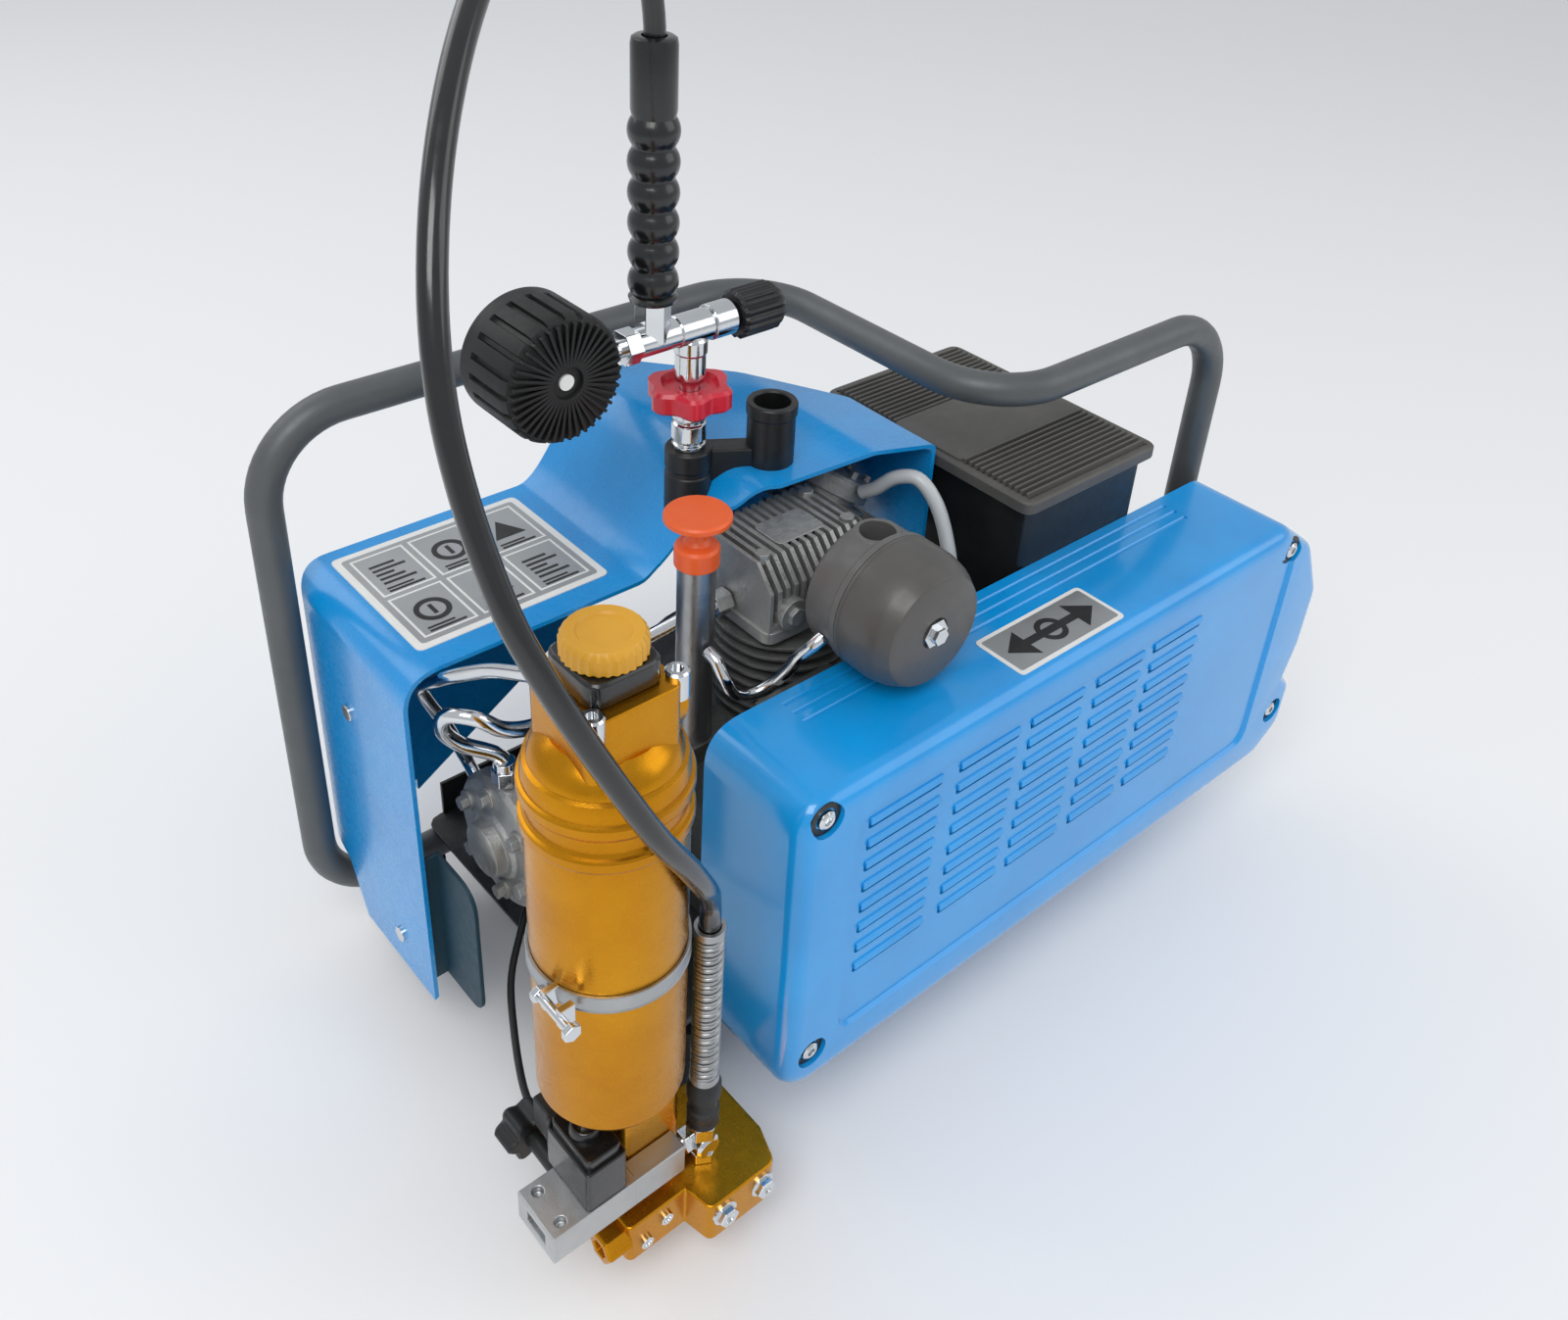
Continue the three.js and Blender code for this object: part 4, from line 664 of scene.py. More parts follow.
# the glossy blue belt guard
guardLook = {"left": -178, "right": 358, "front": -191, "rear": -106, "bottom": 76, "top": 314, "wall": 3,
             "soft": 12,
             "panel": (-134, 300, 110, 287), "slots": 8, "pitch": 17.0, "slotHigh": 6.0}
louvreSpans = [(-126, -66), (-52, 2), (12, 64), (76, 126), (136, 190)]
guardScrewPlaces = {"guard_screw_1": (-160, 300), "guard_screw_2": (-156, 106), "guard_screw_3": (296, 292),
                    "guard_screw_4": (338, 122)}


def guardOutline(inset, look=guardLook):
    left, right, bottom, top = look["left"], look["right"], look["bottom"], look["top"]
    return roundedLine([
        (left + inset, bottom + inset, max(26 - inset, 6)), (right - 22 - inset, bottom + inset, 18),
        (right + 4 - inset, bottom + 28, 16), (right + 4 - inset, bottom + 62, 8),
        (right - 10 - inset, bottom + 76, 8),
        (right - 1 - inset, bottom + 110, 14), (right - inset, top - 80, 20),
        (right - 28 - inset, top - 30, 22),
        (right - 70 - inset, top - inset, 24), (left + inset, top - inset, max(26 - inset, 6)),
    ], 8)


def guardRings(start, soft, wall, rear, steps=6):
    rings = []
    for k in range(steps + 1):
        a = math.pi / 2 * k / steps
        rings.append((guardOutline(wall + soft * (1 - math.sin(a))), start + soft * (1 - math.cos(a))))
    return rings + [(guardOutline(wall), rear)]


def makeBeltGuard(look):
    front, rear, wall, soft = look["front"], look["rear"], look["wall"], look["soft"]
    mesh = freshMesh(lambda bm: addLoft(bm, "y", guardRings(front, soft, 0, rear)))
    mesh = carve(mesh, lambda bm: addLoft(bm, "y", guardRings(front + 6.0, soft - wall, wall, rear + 2)))
    u0, u1, v0, v1 = look["panel"]
    mesh = carve(mesh, lambda bm: addLoft(bm, "y", [
        (roundedLine(oblong(u0 - 3, u1 + 3, v0 - 3, v1 + 3, 16), 8), front - 1),
        (roundedLine(oblong(u0, u1, v0, v1, 14), 8), front + 2.4),
    ]))

    def slots(bm):
        for a, b in louvreSpans:
            for k in range(look["slots"]):
                z = 272 - k * look["pitch"]
                addPrism(bm, "y", roundedLine(oblong(a, b, z, z + look["slotHigh"], 2.6), 4), front - 1,
                         front + 8)

    mesh = carve(mesh, slots)

    def wells(bm):
        for at in guardScrewPlaces.values():
            addRod(bm, "y", 11, front - 1, front + 4, at, 40)

    mesh = carve(mesh, wells)

    def grooves(bm):
        for k in range(3):
            y = rear - 9 - k * 9
            addRod(bm, "x", 1.8, look["left"] + 50, look["right"] - 120, (y, look["top"] + 0.7), 16)

    mesh = carve(mesh, grooves)
    settle(mesh, "beltGuard", bluePaint, stands="belt_guard", soft=28, bevel=0.5, slot="blue_paint")

    def blades(bm):
        # pressed louvre lips above each slot
        for a, b in louvreSpans:
            for k in range(look["slots"]):
                z = 272 - k * look["pitch"] + look["slotHigh"]
                addPrism(bm, "x", [(front + 2.2, z - 2.6), (front + 0.2, z - 1.4), (front + 1.2, z + 2.6),
                                   (front + 2.6, z + 3.2)],
                         a + 0.6, b - 0.6)

    piece(blades, "louvreLips", bluePaint, bevel=0.4, slot="blue_paint")


makeBeltGuard(guardLook)


def makeGuardScrew(node, at):
    seat = guardLook["front"] + 4
    def head(bm):
        addTurned(bm, "y", [(0, seat - 3.5), (4.4, seat - 3.5), (6, seat - 2.4), (6, seat - 0.3),
                            (3, seat - 0.3), (3, seat + 22),
                            (0, seat + 22)], at, 40)

    mesh = carve(freshMesh(head), lambda bm: addRod(bm, "y", 2.9, seat - 4, seat - 1.0, at, 6))
    settle(mesh, node + "Head", brightChrome, stands=node, bevel=0.25, slot="chrome")
    piece(lambda bm: addTurned(bm, "y", [(7.2, seat - 0.9), (10.7, seat - 0.9), (10.7, seat - 0.1),
                                         (7.2, seat - 0.1),
                                         (7.2, seat - 0.9)], at, 40), node + "Washer", blackPlastic,
                                         slot="black_plastic")


for screwName, screwPlace in guardScrewPlaces.items():
    makeGuardScrew(screwName, screwPlace)
copyOf("guard_backplate", "guardBackplate", blackSteel, bevel=0.4, slot="black_steel")
print("stage: belt guard")

# compressor block: crankcase, finned barrels and heads
blockLook = {"x": -62, "z": 190, "headY": -40, "headWide": 84, "headDeep": 66, "headLow": 322,
             "headHigh": 372, "headFins": 13,
             "barrel1": 47, "barrel2": 34, "barrel3": 36, "lean": 34, "leanY": 30, "sideY": 8, "sideZ": 182}
# the crankcase gets the darker alloy copy as painted shade
copyOf("crankcase", "crankcaseCasting", shadedAlloy, bevel=1.0, slot="cast_alloy")


def finProfile(core, fin, a, b, count):
    pitch = (b - a) / count
    out = [(0, a)]
    for i in range(count):
        h = a + i * pitch
        out += [(core, h), (fin - 0.8, h + 0.1), (fin, h + 0.7), (fin, h + pitch * 0.3),
                (fin - 0.8, h + pitch * 0.36),
                (core, h + pitch * 0.46)]
    return out + [(core, b), (0, b)]


def leanOver(bm, look=blockLook):
    turn = Matrix.Rotation(math.radians(look["lean"]), 4, "Y")
    bmesh.ops.transform(bm, matrix=Matrix.Translation((look["x"], look["leanY"], look["z"])) @ turn,
                        verts=bm.verts[:])


def makeBarrels(look):
    x = look["x"]
    piece(lambda bm: addTurned(bm, "z", finProfile(33, look["barrel1"], 254, 319, 8), (x, look["headY"]),
                               72),
          "firstBarrel", shadedAlloy, stands="cylinder_1", soft=40, slot="cast_alloy")

    def second(bm):
        addTurned(bm, "z", finProfile(25, look["barrel2"], 104, 171.5, 9), (0, 0), 64)
        leanOver(bm)

    piece(second, "secondBarrel", castAlloy, stands="cylinder_2", soft=40, slot="cast_alloy")

    def secondHead(bm):
        addTurned(bm, "z", [(0, 172), (31, 172), (31, 183), (29, 186), (22, 189), (0, 189)], (0, 0), 56)
        for a in range(0, 360, 60):
            rad = math.radians(a + 15)
            addRod(bm, "z", 3.6, 185, 192, (24 * math.cos(rad), 24 * math.sin(rad)), 6)
        leanOver(bm)

    piece(secondHead, "secondHead", castAlloy, stands="head_2", bevel=0.5, slot="cast_alloy")

    def third(bm):
        profile = [(r, x - 66 - h) for r, h in finProfile(24, look["barrel3"], 0, 105, 12)]
        addTurned(bm, "x", profile, (look["sideY"], look["sideZ"]), 64)

    piece(third, "thirdBarrel", shadedAlloy, stands="cylinder_3", soft=40, slot="cast_alloy")

    def thirdHead(bm):
        b = x - 66 - 100 - 7
        addTurned(bm, "x", [(0, b), (45, b), (46, b - 1), (46, b - 11), (43.5, b - 14), (40, b - 15),
                            (24, b - 15.5), (22, b - 18),
                            (19, b - 19), (18, b - 26), (16, b - 27), (0, b - 27)],
                            (look["sideY"], look["sideZ"]), 72)
        for a in range(0, 360, 60):
            rad = math.radians(a + 20)
            at = (look["sideY"] + 35 * math.cos(rad), look["sideZ"] + 35 * math.sin(rad))
            addRod(bm, "x", 7.2, b - 17, b - 10, at, 24)
            addRod(bm, "x", 5.0, b - 22, b - 10, at, 6)

    piece(thirdHead, "thirdHead", castAlloy, stands="head_3", bevel=0.5, slot="cast_alloy")


makeBarrels(blockLook)


def makeFirstHead(look):
    x, y, w, d = look["x"], look["headY"], look["headWide"], look["headDeep"]
    z0, z1, count = look["headLow"], look["headHigh"], look["headFins"]
    mesh = freshMesh(lambda bm: addPrism(bm, "x", [
        (y - d / 2, z0), (y + d / 2, z0), (y + d / 2, z1), (y - d / 2 + 14, z1), (y - d / 2, z1 - 16)],
        x - w / 2, x + w / 2))
    pitch = w / count

    def slots(bm):
        for i in range(count):
            a = x - w / 2 + (i + 0.42) * pitch
            middle = 3 < i < 9
            if middle:
                addBox(bm, a, a + pitch * 0.52, y - d / 2 - 1, y - 13, z0 + 10, z1 + 1)
                addBox(bm, a, a + pitch * 0.52, y + 13, y + d / 2 + 1, z0 + 10, z1 + 1)
            else:
                addBox(bm, a, a + pitch * 0.52, y - d / 2 - 1, y + d / 2 + 1, z0 + 10, z1 + 1)

    settle(carve(mesh, slots), "firstHead", castAlloy, stands="head_1", bevel=0.45, slot="cast_alloy")

    def fittings(bm):
        addPrism(bm, "z", roundedLine(oblong(x - 19, x + 19, y - 13, y + 13, 5), 5), z1 - 10, z1 + 0.6)
        addRod(bm, "y", 10.5, y - d / 2 - 5, y - d / 2 + 6, (x - 26, z0 + 16), 36)
        addRod(bm, "y", 6.2, y - d / 2 - 8, y - d / 2 + 6, (x - 26, z0 + 16), 6)
        addPrism(bm, "z", roundedLine(oblong(x - w / 2 - 2, x + w / 2 + 2, y - d / 2 - 2, y + d / 2 + 2, 9),
                                      5), z0 - 2, z0 + 6)
        for sx in (-1, 1):
            for sy in (-1, 1):
                addRod(bm, "z", 5.0, z1 - 4, z1 + 2.6, (x + sx * 34, y + sy * 19 + 4), 6)

    piece(fittings, "firstHeadFittings", castAlloy, bevel=0.5, slot="cast_alloy")


makeFirstHead(blockLook)

# shaft, pulleys and belt behind the guard
driveLook = {"crank": (-62, 190), "motor": (186, 158)}
piece(lambda bm: addTurned(bm, "y", [(0, -170), (9, -170), (12, -167), (12, 48), (0, 48)],
                           driveLook["crank"], 48),
      "crankShaft", plainSteel, body="crank", stands="crankshaft", slot="steel")
copyOf("flywheel", "flywheelCasting", shadedAlloy, bevel=0.5, body="crank", soft=35, slot="cast_alloy")
copyOf("motor_pulley", "motorPulley", plainSteel, bevel=0.5, body="motor_rotor", soft=35, slot="steel")
piece(lambda bm: addTurned(bm, "y", [(0, -168), (8, -168), (9, -167), (9, -88.3), (0, -88.3)],
                           driveLook["motor"], 40),
      "motorShaft", plainSteel, body="motor_rotor", stands="motor_shaft", slot="steel")
copyOf("drive_belt", "driveBelt", rubberBlack, bevel=0.8, soft=20, slot="rubber")
copyOf("motor_body", "motorBody", blackSteel, bevel=0.6, soft=25, slot="black_steel")
print("stage: block and drive")

# control box with its ribbed lid
boxLook = {"left": 86, "right": 211, "front": -105.7, "rear": 77, "bottom": 245, "top": 361, "ribs": 12}
copyOf("control_box", "controlBox", blackPlastic, bevel=0.8, slot="black_plastic")


def makeBoxLid(look):
    z0 = look["top"] + 0.3
    left, right, front, rear = look["left"] - 6, look["right"] + 6, look["front"] - 6, look["rear"] + 6

    def shell(bm):
        outline = roundedLine(oblong(left, right, front, rear, 9), 6)
        inner = roundedLine(oblong(left + 1.4, right - 1.4, front + 1.4, rear - 1.4, 8), 6)
        addLoft(bm, "z", [(outline, z0), (outline, z0 + 7.6), (inner, z0 + 9)])

    def trim(bm):
        # grooves across the ribbed fields at each end
        pitch = 5.0
        for i in range(look["ribs"]):
            for a in (front + 5 + i * pitch, rear - 7.4 - i * pitch):
                addBox(bm, left + 6, right - 6, a, a + 2.3, z0 + 7.2, z0 + 12)

    settle(carve(freshMesh(shell), trim), "lidShell", lidPlastic, body="lid", stands="box_lid", bevel=0.5,
           slot="grey_plastic")

    def pad(bm):
        a = front + 5 + look["ribs"] * 5.0
        b = rear - 5 - look["ribs"] * 5.0
        outline = roundedLine(oblong(left + 5, right - 5, a, b, 5), 5)
        top = roundedLine(oblong(left + 6.5, right - 6.5, a + 1.5, b - 1.5, 4), 5)
        addLoft(bm, "z", [(outline, z0 + 8.5), (outline, z0 + 10.4), (top, z0 + 11)])
        for i in range(look["ribs"]):
            for y in (front + 7.5 + i * 5.0, rear - 9.9 - i * 5.0):
                addPrism(bm, "x", [(y - 0.2, z0 + 8), (y + 2.6, z0 + 8), (y + 2.0, z0 + 11.6),
                                   (y + 0.4, z0 + 11.6)], left + 6.5,
                         right - 6.5)

    piece(pad, "lidRibs", lidPlastic, body="lid", bevel=0.35, slot="grey_plastic")


makeBoxLid(boxLook)
copyOf("selector_knob", "selectorKnob", redPlastic, bevel=0.8, body="selector", soft=35, slot="red_plastic")
copyOf("cable_inlet", "cableInlet", blackPlastic, bevel=0.5, soft=35, slot="black_plastic")
print("stage: control box")

# the blue cowl: left cheek, low shelf and the raised shoulder
cowlLook = {"left": -296, "right": 75, "rear": 165, "low": 324, "high": 392, "wall": 3, "from": -130,
            "to": -62, "round": 26}


def cowlZ(x, look=cowlLook):
    t = min(max((x - look["from"]) / (look["to"] - look["from"]), 0), 1)
    drop = min(max((x - 20) / (look["right"] - 20), 0), 1)
    return look["low"] + (look["high"] - look["low"]) * t * t * (3 - 2 * t) - 11 * drop


def cowlSide(inset, lowLeft, lowRight, look=cowlLook):
    top = [(look["from"] + d, cowlZ(look["from"] + d) - inset) for d in range(0, 205,
        4) if look["from"] + d < look["right"] - 9]
    corners = [(look["left"] + inset, lowLeft), (look["left"] + inset, look["low"] - inset,
                                                 look["round"] - inset)] + top
    return roundedLine(corners + [(look["right"] - inset, cowlZ(look["right"]) - inset, 7),
                                  (look["right"] - inset, lowRight)], 10)


def cowlPlan(inset, open_, look=cowlLook):
    left, right, rear = look["left"], look["right"], look["rear"]
    if open_:
        frontLine = [(left + inset, 22), (-118, 22, 14), (-98, 16, 8), (-80, -12, 14), (-56, -24, 10),
                     (right - inset, -32)]
    else:
        frontLine = [(left + inset, -60), (right - inset, -60)]
    return roundedLine(frontLine + [
        (right - inset, 46 - inset * 0.4), (-30 - inset * 0.4, rear - inset),
        (left + inset, rear - inset, 22 - inset)], 10)


def makeCowl(look):
    mesh = freshMesh(lambda bm: addPrism(bm, "y", cowlSide(0, 55, 296), -62, look["rear"]))
    mesh = carve(mesh, lambda bm: addPrism(bm, "z", cowlPlan(0, True), 0, 500), "INTERSECT")
    inner = freshMesh(lambda bm: addPrism(bm, "y", cowlSide(look["wall"], 40, 280), -63, look["rear"] + 1))
    inner = carve(inner, lambda bm: addPrism(bm, "z", cowlPlan(look["wall"], False), 0, 500), "INTERSECT")

    def innerShape(bm):
        bm.from_mesh(inner)

    mesh = carve(mesh, innerShape)

    def below(bm):
        addPrism(bm, "x", [(108, 40), (134, 96), (look["rear"] + 2, 112), (look["rear"] + 2, 40)],
                 look["left"] - 2, -228)

    mesh = carve(mesh, below)
    mesh = carve(mesh, lambda bm: addBox(bm, -292, 90, 120, 200, 30, 100))
    mesh = carve(mesh, lambda bm: addBox(bm, -60, 90, -40, 60, 30, 300))
    bpy.data.meshes.remove(inner)
    settle(mesh, "fanCowl", blueSheet, stands="fan_cowl", soft=32, bevel=0.7, slot="blue_paint")

    def flap(bm):
        addPrism(bm, "x", roundedLine([(-20, 72, 14), (26.8, 72), (26.8, 180), (-20, 180, 20)], 6), -284,
                 -281)
        addBox(bm, -294, -281.2, 24.2, 27, 72.2, 179.8)

    # the flap gets the dark teal copy of the blue paint as painted shade
    piece(flap, "cowlFlap", shadedBlueSheet, bevel=0.8, slot="blue_paint")
    piece(lambda bm: [addRod(bm, "x", 5.5, look["left"] - 2.2, look["left"] + 1, at,
                             28) for at in ((62, 84), (100, 250))],
          "cowlScrews", brightChrome, bevel=0.6, slot="chrome")


makeCowl(cowlLook)

# the silver plate on the shelf, with generic marks only
plateLook = {"x0": -274, "x1": -140, "y0": 40, "y1": 154, "z": 324.0, "border": 5}


def makeCowlPlate(look):
    x0, x1, y0, y1, z, edge = look["x0"], look["x1"], look["y0"], look["y1"], look["z"], look["border"]
    piece(lambda bm: addPrism(bm, "z", roundedLine(oblong(x0, x1, y0, y1, 5), 5), z - 0.4, z + 0.7),
          "platePaper", whitePaint,
          slot="white_paint")
    piece(lambda bm: addPrism(bm, "z", roundedLine(oblong(x0 + edge, x1 - edge, y0 + edge, y1 - edge, 3),
                                                   5), z, z + 0.95),
          "plateField", silverPlate, slot="bare_aluminium")
    cellX, cellY = (x1 - x0 - 2 * edge - 4) / 3, (y1 - y0 - 2 * edge - 4) / 2

    def frames(bm):
        for i in range(3):
            for j in range(2):
                cx = x0 + edge + 2 + (i + 0.5) * cellX
                cy = y0 + edge + 2 + (j + 0.5) * cellY
                w, d = cellX / 2 - 2, cellY / 2 - 2
                for a, b, c, e in ((cx - w, cx + w, cy - d, cy - d + 1.4),
                                   (cx - w, cx + w, cy + d - 1.4, cy + d),
                                   (cx - w, cx - w + 1.4, cy - d + 1.5, cy + d - 1.5),
                                   (cx + w - 1.4, cx + w, cy - d + 1.5, cy + d - 1.5)):
                    addBox(bm, a, b, c, e, z + 0.3, z + 1.15)

    piece(frames, "plateFrames", whitePaint, slot="white_paint")

    def marks(bm):
        for i in range(3):
            for j in range(2):
                cx = x0 + edge + 2 + (i + 0.5) * cellX
                cy = y0 + edge + 2 + (j + 0.5) * cellY
                kind = (i + 2 * j) % 3
                if kind == 0:
                    addTurned(bm, "z", [(8, z + 0.4), (11.5, z + 0.4), (11.5, z + 1.2), (8, z + 1.2),
                                        (8, z + 0.4)], (cx, cy), 40)
                    addBox(bm, cx - 1.3, cx + 1.3, cy - 5, cy + 5, z + 0.4, z + 1.2)
                elif kind == 1:
                    addPrism(bm, "z", [(cx - 11, cy - 9), (cx + 11, cy - 9), (cx, cy + 11)], z + 0.4,
                             z + 1.2)
                else:
                    for k in range(5):
                        addBox(bm, cx - 11, cx + 11 - (k % 3) * 5, cy - 11 + k * 5, cy - 9 + k * 5, z + 0.4,
                               z + 1.2)
                addBox(bm, cx - 12, cx + 12, cy - 20, cy - 18.4, z + 0.4, z + 1.2)
                addBox(bm, cx - 12, cx + 6, cy - 16.6, cy - 15.2, z + 0.4, z + 1.2)

    piece(marks, "plateMarks", blackPrint, slot="black_plastic")


makeCowlPlate(plateLook)

# small plain pictogram on the guard: an arrow pair for the turning direction
stickerLook = {"x0": 4, "x1": 104, "y0": -182, "y1": -142, "z": 314.0}


def makeGuardSticker(look):
    x0, x1, y0, y1, z = look["x0"], look["x1"], look["y0"], look["y1"], look["z"]
    piece(lambda bm: addPrism(bm, "z", roundedLine(oblong(x0, x1, y0, y1, 4), 5), z - 0.3, z + 0.45),
          "stickerPaper", whitePaint,
          slot="white_paint")
    piece(lambda bm: addPrism(bm, "z", roundedLine(oblong(x0 + 3, x1 - 3, y0 + 3, y1 - 3, 2), 5), z,
                              z + 0.6), "stickerField",
          silverPlate, slot="bare_aluminium")

    def marks(bm):
        cy = (y0 + y1) / 2
        addPrism(bm, "z", [(x0 + 9, cy), (x0 + 27, cy + 13), (x0 + 27, cy - 13)], z + 0.2, z + 0.75)
        addPrism(bm, "z", [(x1 - 9, cy), (x1 - 27, cy - 13), (x1 - 27, cy + 13)], z + 0.2, z + 0.75)
        addBox(bm, x0 + 27, x1 - 27, cy - 3, cy + 3, z + 0.2, z + 0.75)
        addTurned(bm, "z", [(7, z + 0.2), (11, z + 0.2), (11, z + 0.8), (7, z + 0.8), (7, z + 0.2)],
                  ((x0 + x1) / 2, cy), 40)

    piece(marks, "stickerMarks", blackPrint, slot="black_plastic")


makeGuardSticker(stickerLook)
print("stage: cowl and labels")

# the post that parks the valve, and the second socket beside it
holderLook = {"post": (-88, 28), "socket": (-42, 4), "postTop": 406, "socketTop": 434}


def makeHolder(look):
    px, py = look["post"]
    sx, sy = look["socket"]
    base = cowlZ(px) - 2

    def shape(bm):
        addTurned(bm, "z", [(0, 352), (15, 352), (15, 388), (14.2, 389), (14.2, 392), (15, 393),
                            (15, look["postTop"] - 1.2),
                            (14, look["postTop"]), (9.5, look["postTop"]), (9.5, 392), (0, 392)],
                            look["post"], 56)

    piece(shape, "holderPost", blackPlastic, bevel=0.3, slot="black_plastic")

    def tube(bm):
        top = look["socketTop"]
        addTurned(bm, "z", [(0, 388), (15.3, 388), (15.3, top - 9), (16.2, top - 8), (16.2, top - 1),
                            (15.4, top), (12.2, top),
                            (11.5, top - 1), (11.5, 398), (0, 398)], look["socket"], 56)

    piece(tube, "holderSocket", blackPlastic, stands="valve_holder", bevel=0.3, slot="black_plastic")

    def arm(bm):
        addPrism(bm, "z", [(px + 4, py - 8), (sx - 6, sy - 6), (sx + 2, sy + 8), (px + 8, py + 8)],
                 base + 12, 404)

    piece(arm, "holderArm", blackPlastic, bevel=1.2, slot="black_plastic")


makeHolder(holderLook)
print("stage: valve holder")

# air intake drum: ported rear half and the pull-off front cover
intakeLook = {"x": -56, "z": 360, "r": 43, "front": -160, "rear": -90}


def makeIntake(look):
    x, z, r, front, rear = look["x"], look["z"], look["r"], look["front"], look["rear"]
    at = (x, z)

    def back(bm):
        addTurned(bm, "y", [(0, rear + 2), (31, rear + 2), (34, rear + 0.6), (r - 3, rear - 4),
                            (r - 2, rear - 6), (r - 2, rear - 25),
                            (r - 0.8, rear - 26), (r, rear - 27), (r, rear - 31), (r - 6, rear - 31),
                            (r - 6, rear - 12),
                            (0, rear - 12)], at, 96)

    mesh = freshMesh(back)
    mesh = carve(mesh, lambda bm: addTurned(bm, "z", [(0, z + 15), (15, z + 15), (15, z + r - 4.2),
                                                      (13.8, z + r - 3), (0, z + r - 3)],
                                            (x + 2, rear - 16), 56), "UNION")
    mesh = carve(mesh, lambda bm: addRod(bm, "z", 11, z - 4, z + r, (x + 2, rear - 16), 48))
    settle(mesh, "intakeBack", drumPlastic, stands="intake_housing", bevel=0.3, soft=28,
           slot="drum_plastic")
    piece(lambda bm: addRod(bm, "y", 5, rear - 40, rear, at, 32), "intakePost", plainSteel, slot="steel")
    piece(lambda bm: addRod(bm, "y", 12, rear, -73.3, (x - 2, z - 14), 40), "intakeNeck", castAlloy,
          bevel=0.5, slot="cast_alloy")
    start = rear - 31.3

    def cover(bm):
        addTurned(bm, "y", [(0, front + 1.6), (9, front + 1.6), (10, front), (r - 10, front),
                            (r - 7.5, front + 1), (r - 3.4, front + 8),
                            (r - 2.2, front + 10.5), (r, front + 20), (r, start - 3),
                            (r - 0.6, start - 2.4), (r - 0.6, start - 1.2),
                            (r, start - 0.6), (r, start), (r - 3.5, start), (r - 6, front + 12),
                            (r - 11, front + 3), (0, front + 3)],
                  at, 96)

    # the whole cover gets the darker copy of the drum plastic as painted shade
    piece(cover, "intakeCover", drumPlasticShaded, body="air_cover", stands="intake_cover", bevel=0.25, soft=24,
          slot="drum_plastic")

    def bolt(bm):
        addTurned(bm, "y", [(0, front - 4.6), (3.2, front - 5.4), (5.6, front - 5.4), (5.6, front - 1.2),
                            (9.4, front - 1.2),
                            (9.4, front + 1.6), (3.5, front + 2), (3.5, rear - 42.3), (0, rear - 42.3)], at,
                            6)

    piece(bolt, "intakeBolt", brightChrome, body="air_cover", bevel=0.3, slot="chrome")


makeIntake(intakeLook)
copyOf("intake_element", "intakePleats", paperCream, bevel=0.3, soft=20, slot="filter_paper")

# oil filler tube and its orange dipstick
fillerLook = {"x": -138, "y": -45, "r": 11.5, "top": 378, "bottom": 250}


def makeFiller(look):
    at, r, top, bottom = (look["x"], look["y"]), look["r"], look["top"], look["bottom"]
    piece(lambda bm: addTurned(bm, "z", [(0, bottom), (r, bottom), (r, top - 0.8), (r - 0.6, top),
                                         (r - 2.5, top), (r - 2.5, bottom + 4),
                                         (0, bottom + 4)], at, 64), "fillerTube", plainSteel,
                                         stands="oil_filler_tube", slot="steel")

    def stick(bm):
        addTurned(bm, "z", [(0, bottom + 16), (2.5, bottom + 16), (2.5, top - 10), (r - 3, top - 9),
                            (r - 3, top + 0.3),
                            (r + 1.4, top + 0.3), (r + 2, top + 1), (r + 2, top + 12), (r + 0.6, top + 14),
                            (8.2, top + 15.4),
                            (6.2, top + 18), (5.4, top + 22), (6, top + 26), (9, top + 28.6),
                            (17.5, top + 29.6), (20, top + 31),
                            (20, top + 33.6), (18.6, top + 35), (0, top + 35)], at, 72)

    piece(stick, "dipstick", orangePlastic, body="dipstick", stands="oil_dipstick", bevel=0.25, soft=24,
          slot="orange_plastic")


makeFiller(fillerLook)
print("stage: intake and filler")

# bent pipes between the stages
pipeLook = {"thin": 4.2, "stage": 5.0, "nut": 8.5}
pipeRuns = {
    "stage": [(-105, -34, 332), (-112, -34, 332), (-118, -31, 330), (-130, -20, 318), (-156, -4, 298),
              (-190, -4, 281), (-222, -7, 276),
              (-248, -8, 285), (-265, -4, 300), (-275, 8, 299), (-275, 18, 282), (-264, 19, 264),
              (-241, 11, 246), (-241, 8, 236),
              (-241, 8, 228.6)],
    "delivery": [(-241, 47.8, 206.1), (-241, 55, 210.6), (-250, 60, 240), (-268, 54, 284), (-272, 20, 316),
                 (-264, -20, 344),
                 (-262, -70, 372), (-262, -110, 398), (-262, -119, 411), (-262, -124, 419),
                 (-262, -127, 420), (-262, -131.3, 420)],
    "breather": [(38, -3, 342), (41, -12, 348), (46, -26, 362), (51, -40, 366), (55, -54, 354),
                 (57, -67, 328), (58, -74, 296),
                 (50, -74, 264), (34, -68, 240), (9.5, -62, 221.1), (-4.7, -62, 214.9)],
}


def coolerLine(look=intakeLook):
    out = (-math.cos(0.45), -math.sin(0.45))
    near = [(look["x"] + (look["r"] - 2 + d) * out[0], look["rear"] - 17,
             look["z"] + (look["r"] - 2 + d) * out[1]) for d in (7, 0.5)]
    return [(-138, -57.7, 322), (-138, -66, 320), (-137, -73, 310), (-132, -76, 299), (-121, -79, 295),
            (-110, -84, 300),
            (-104, -91, 312), (-102, -98, 326)] + near


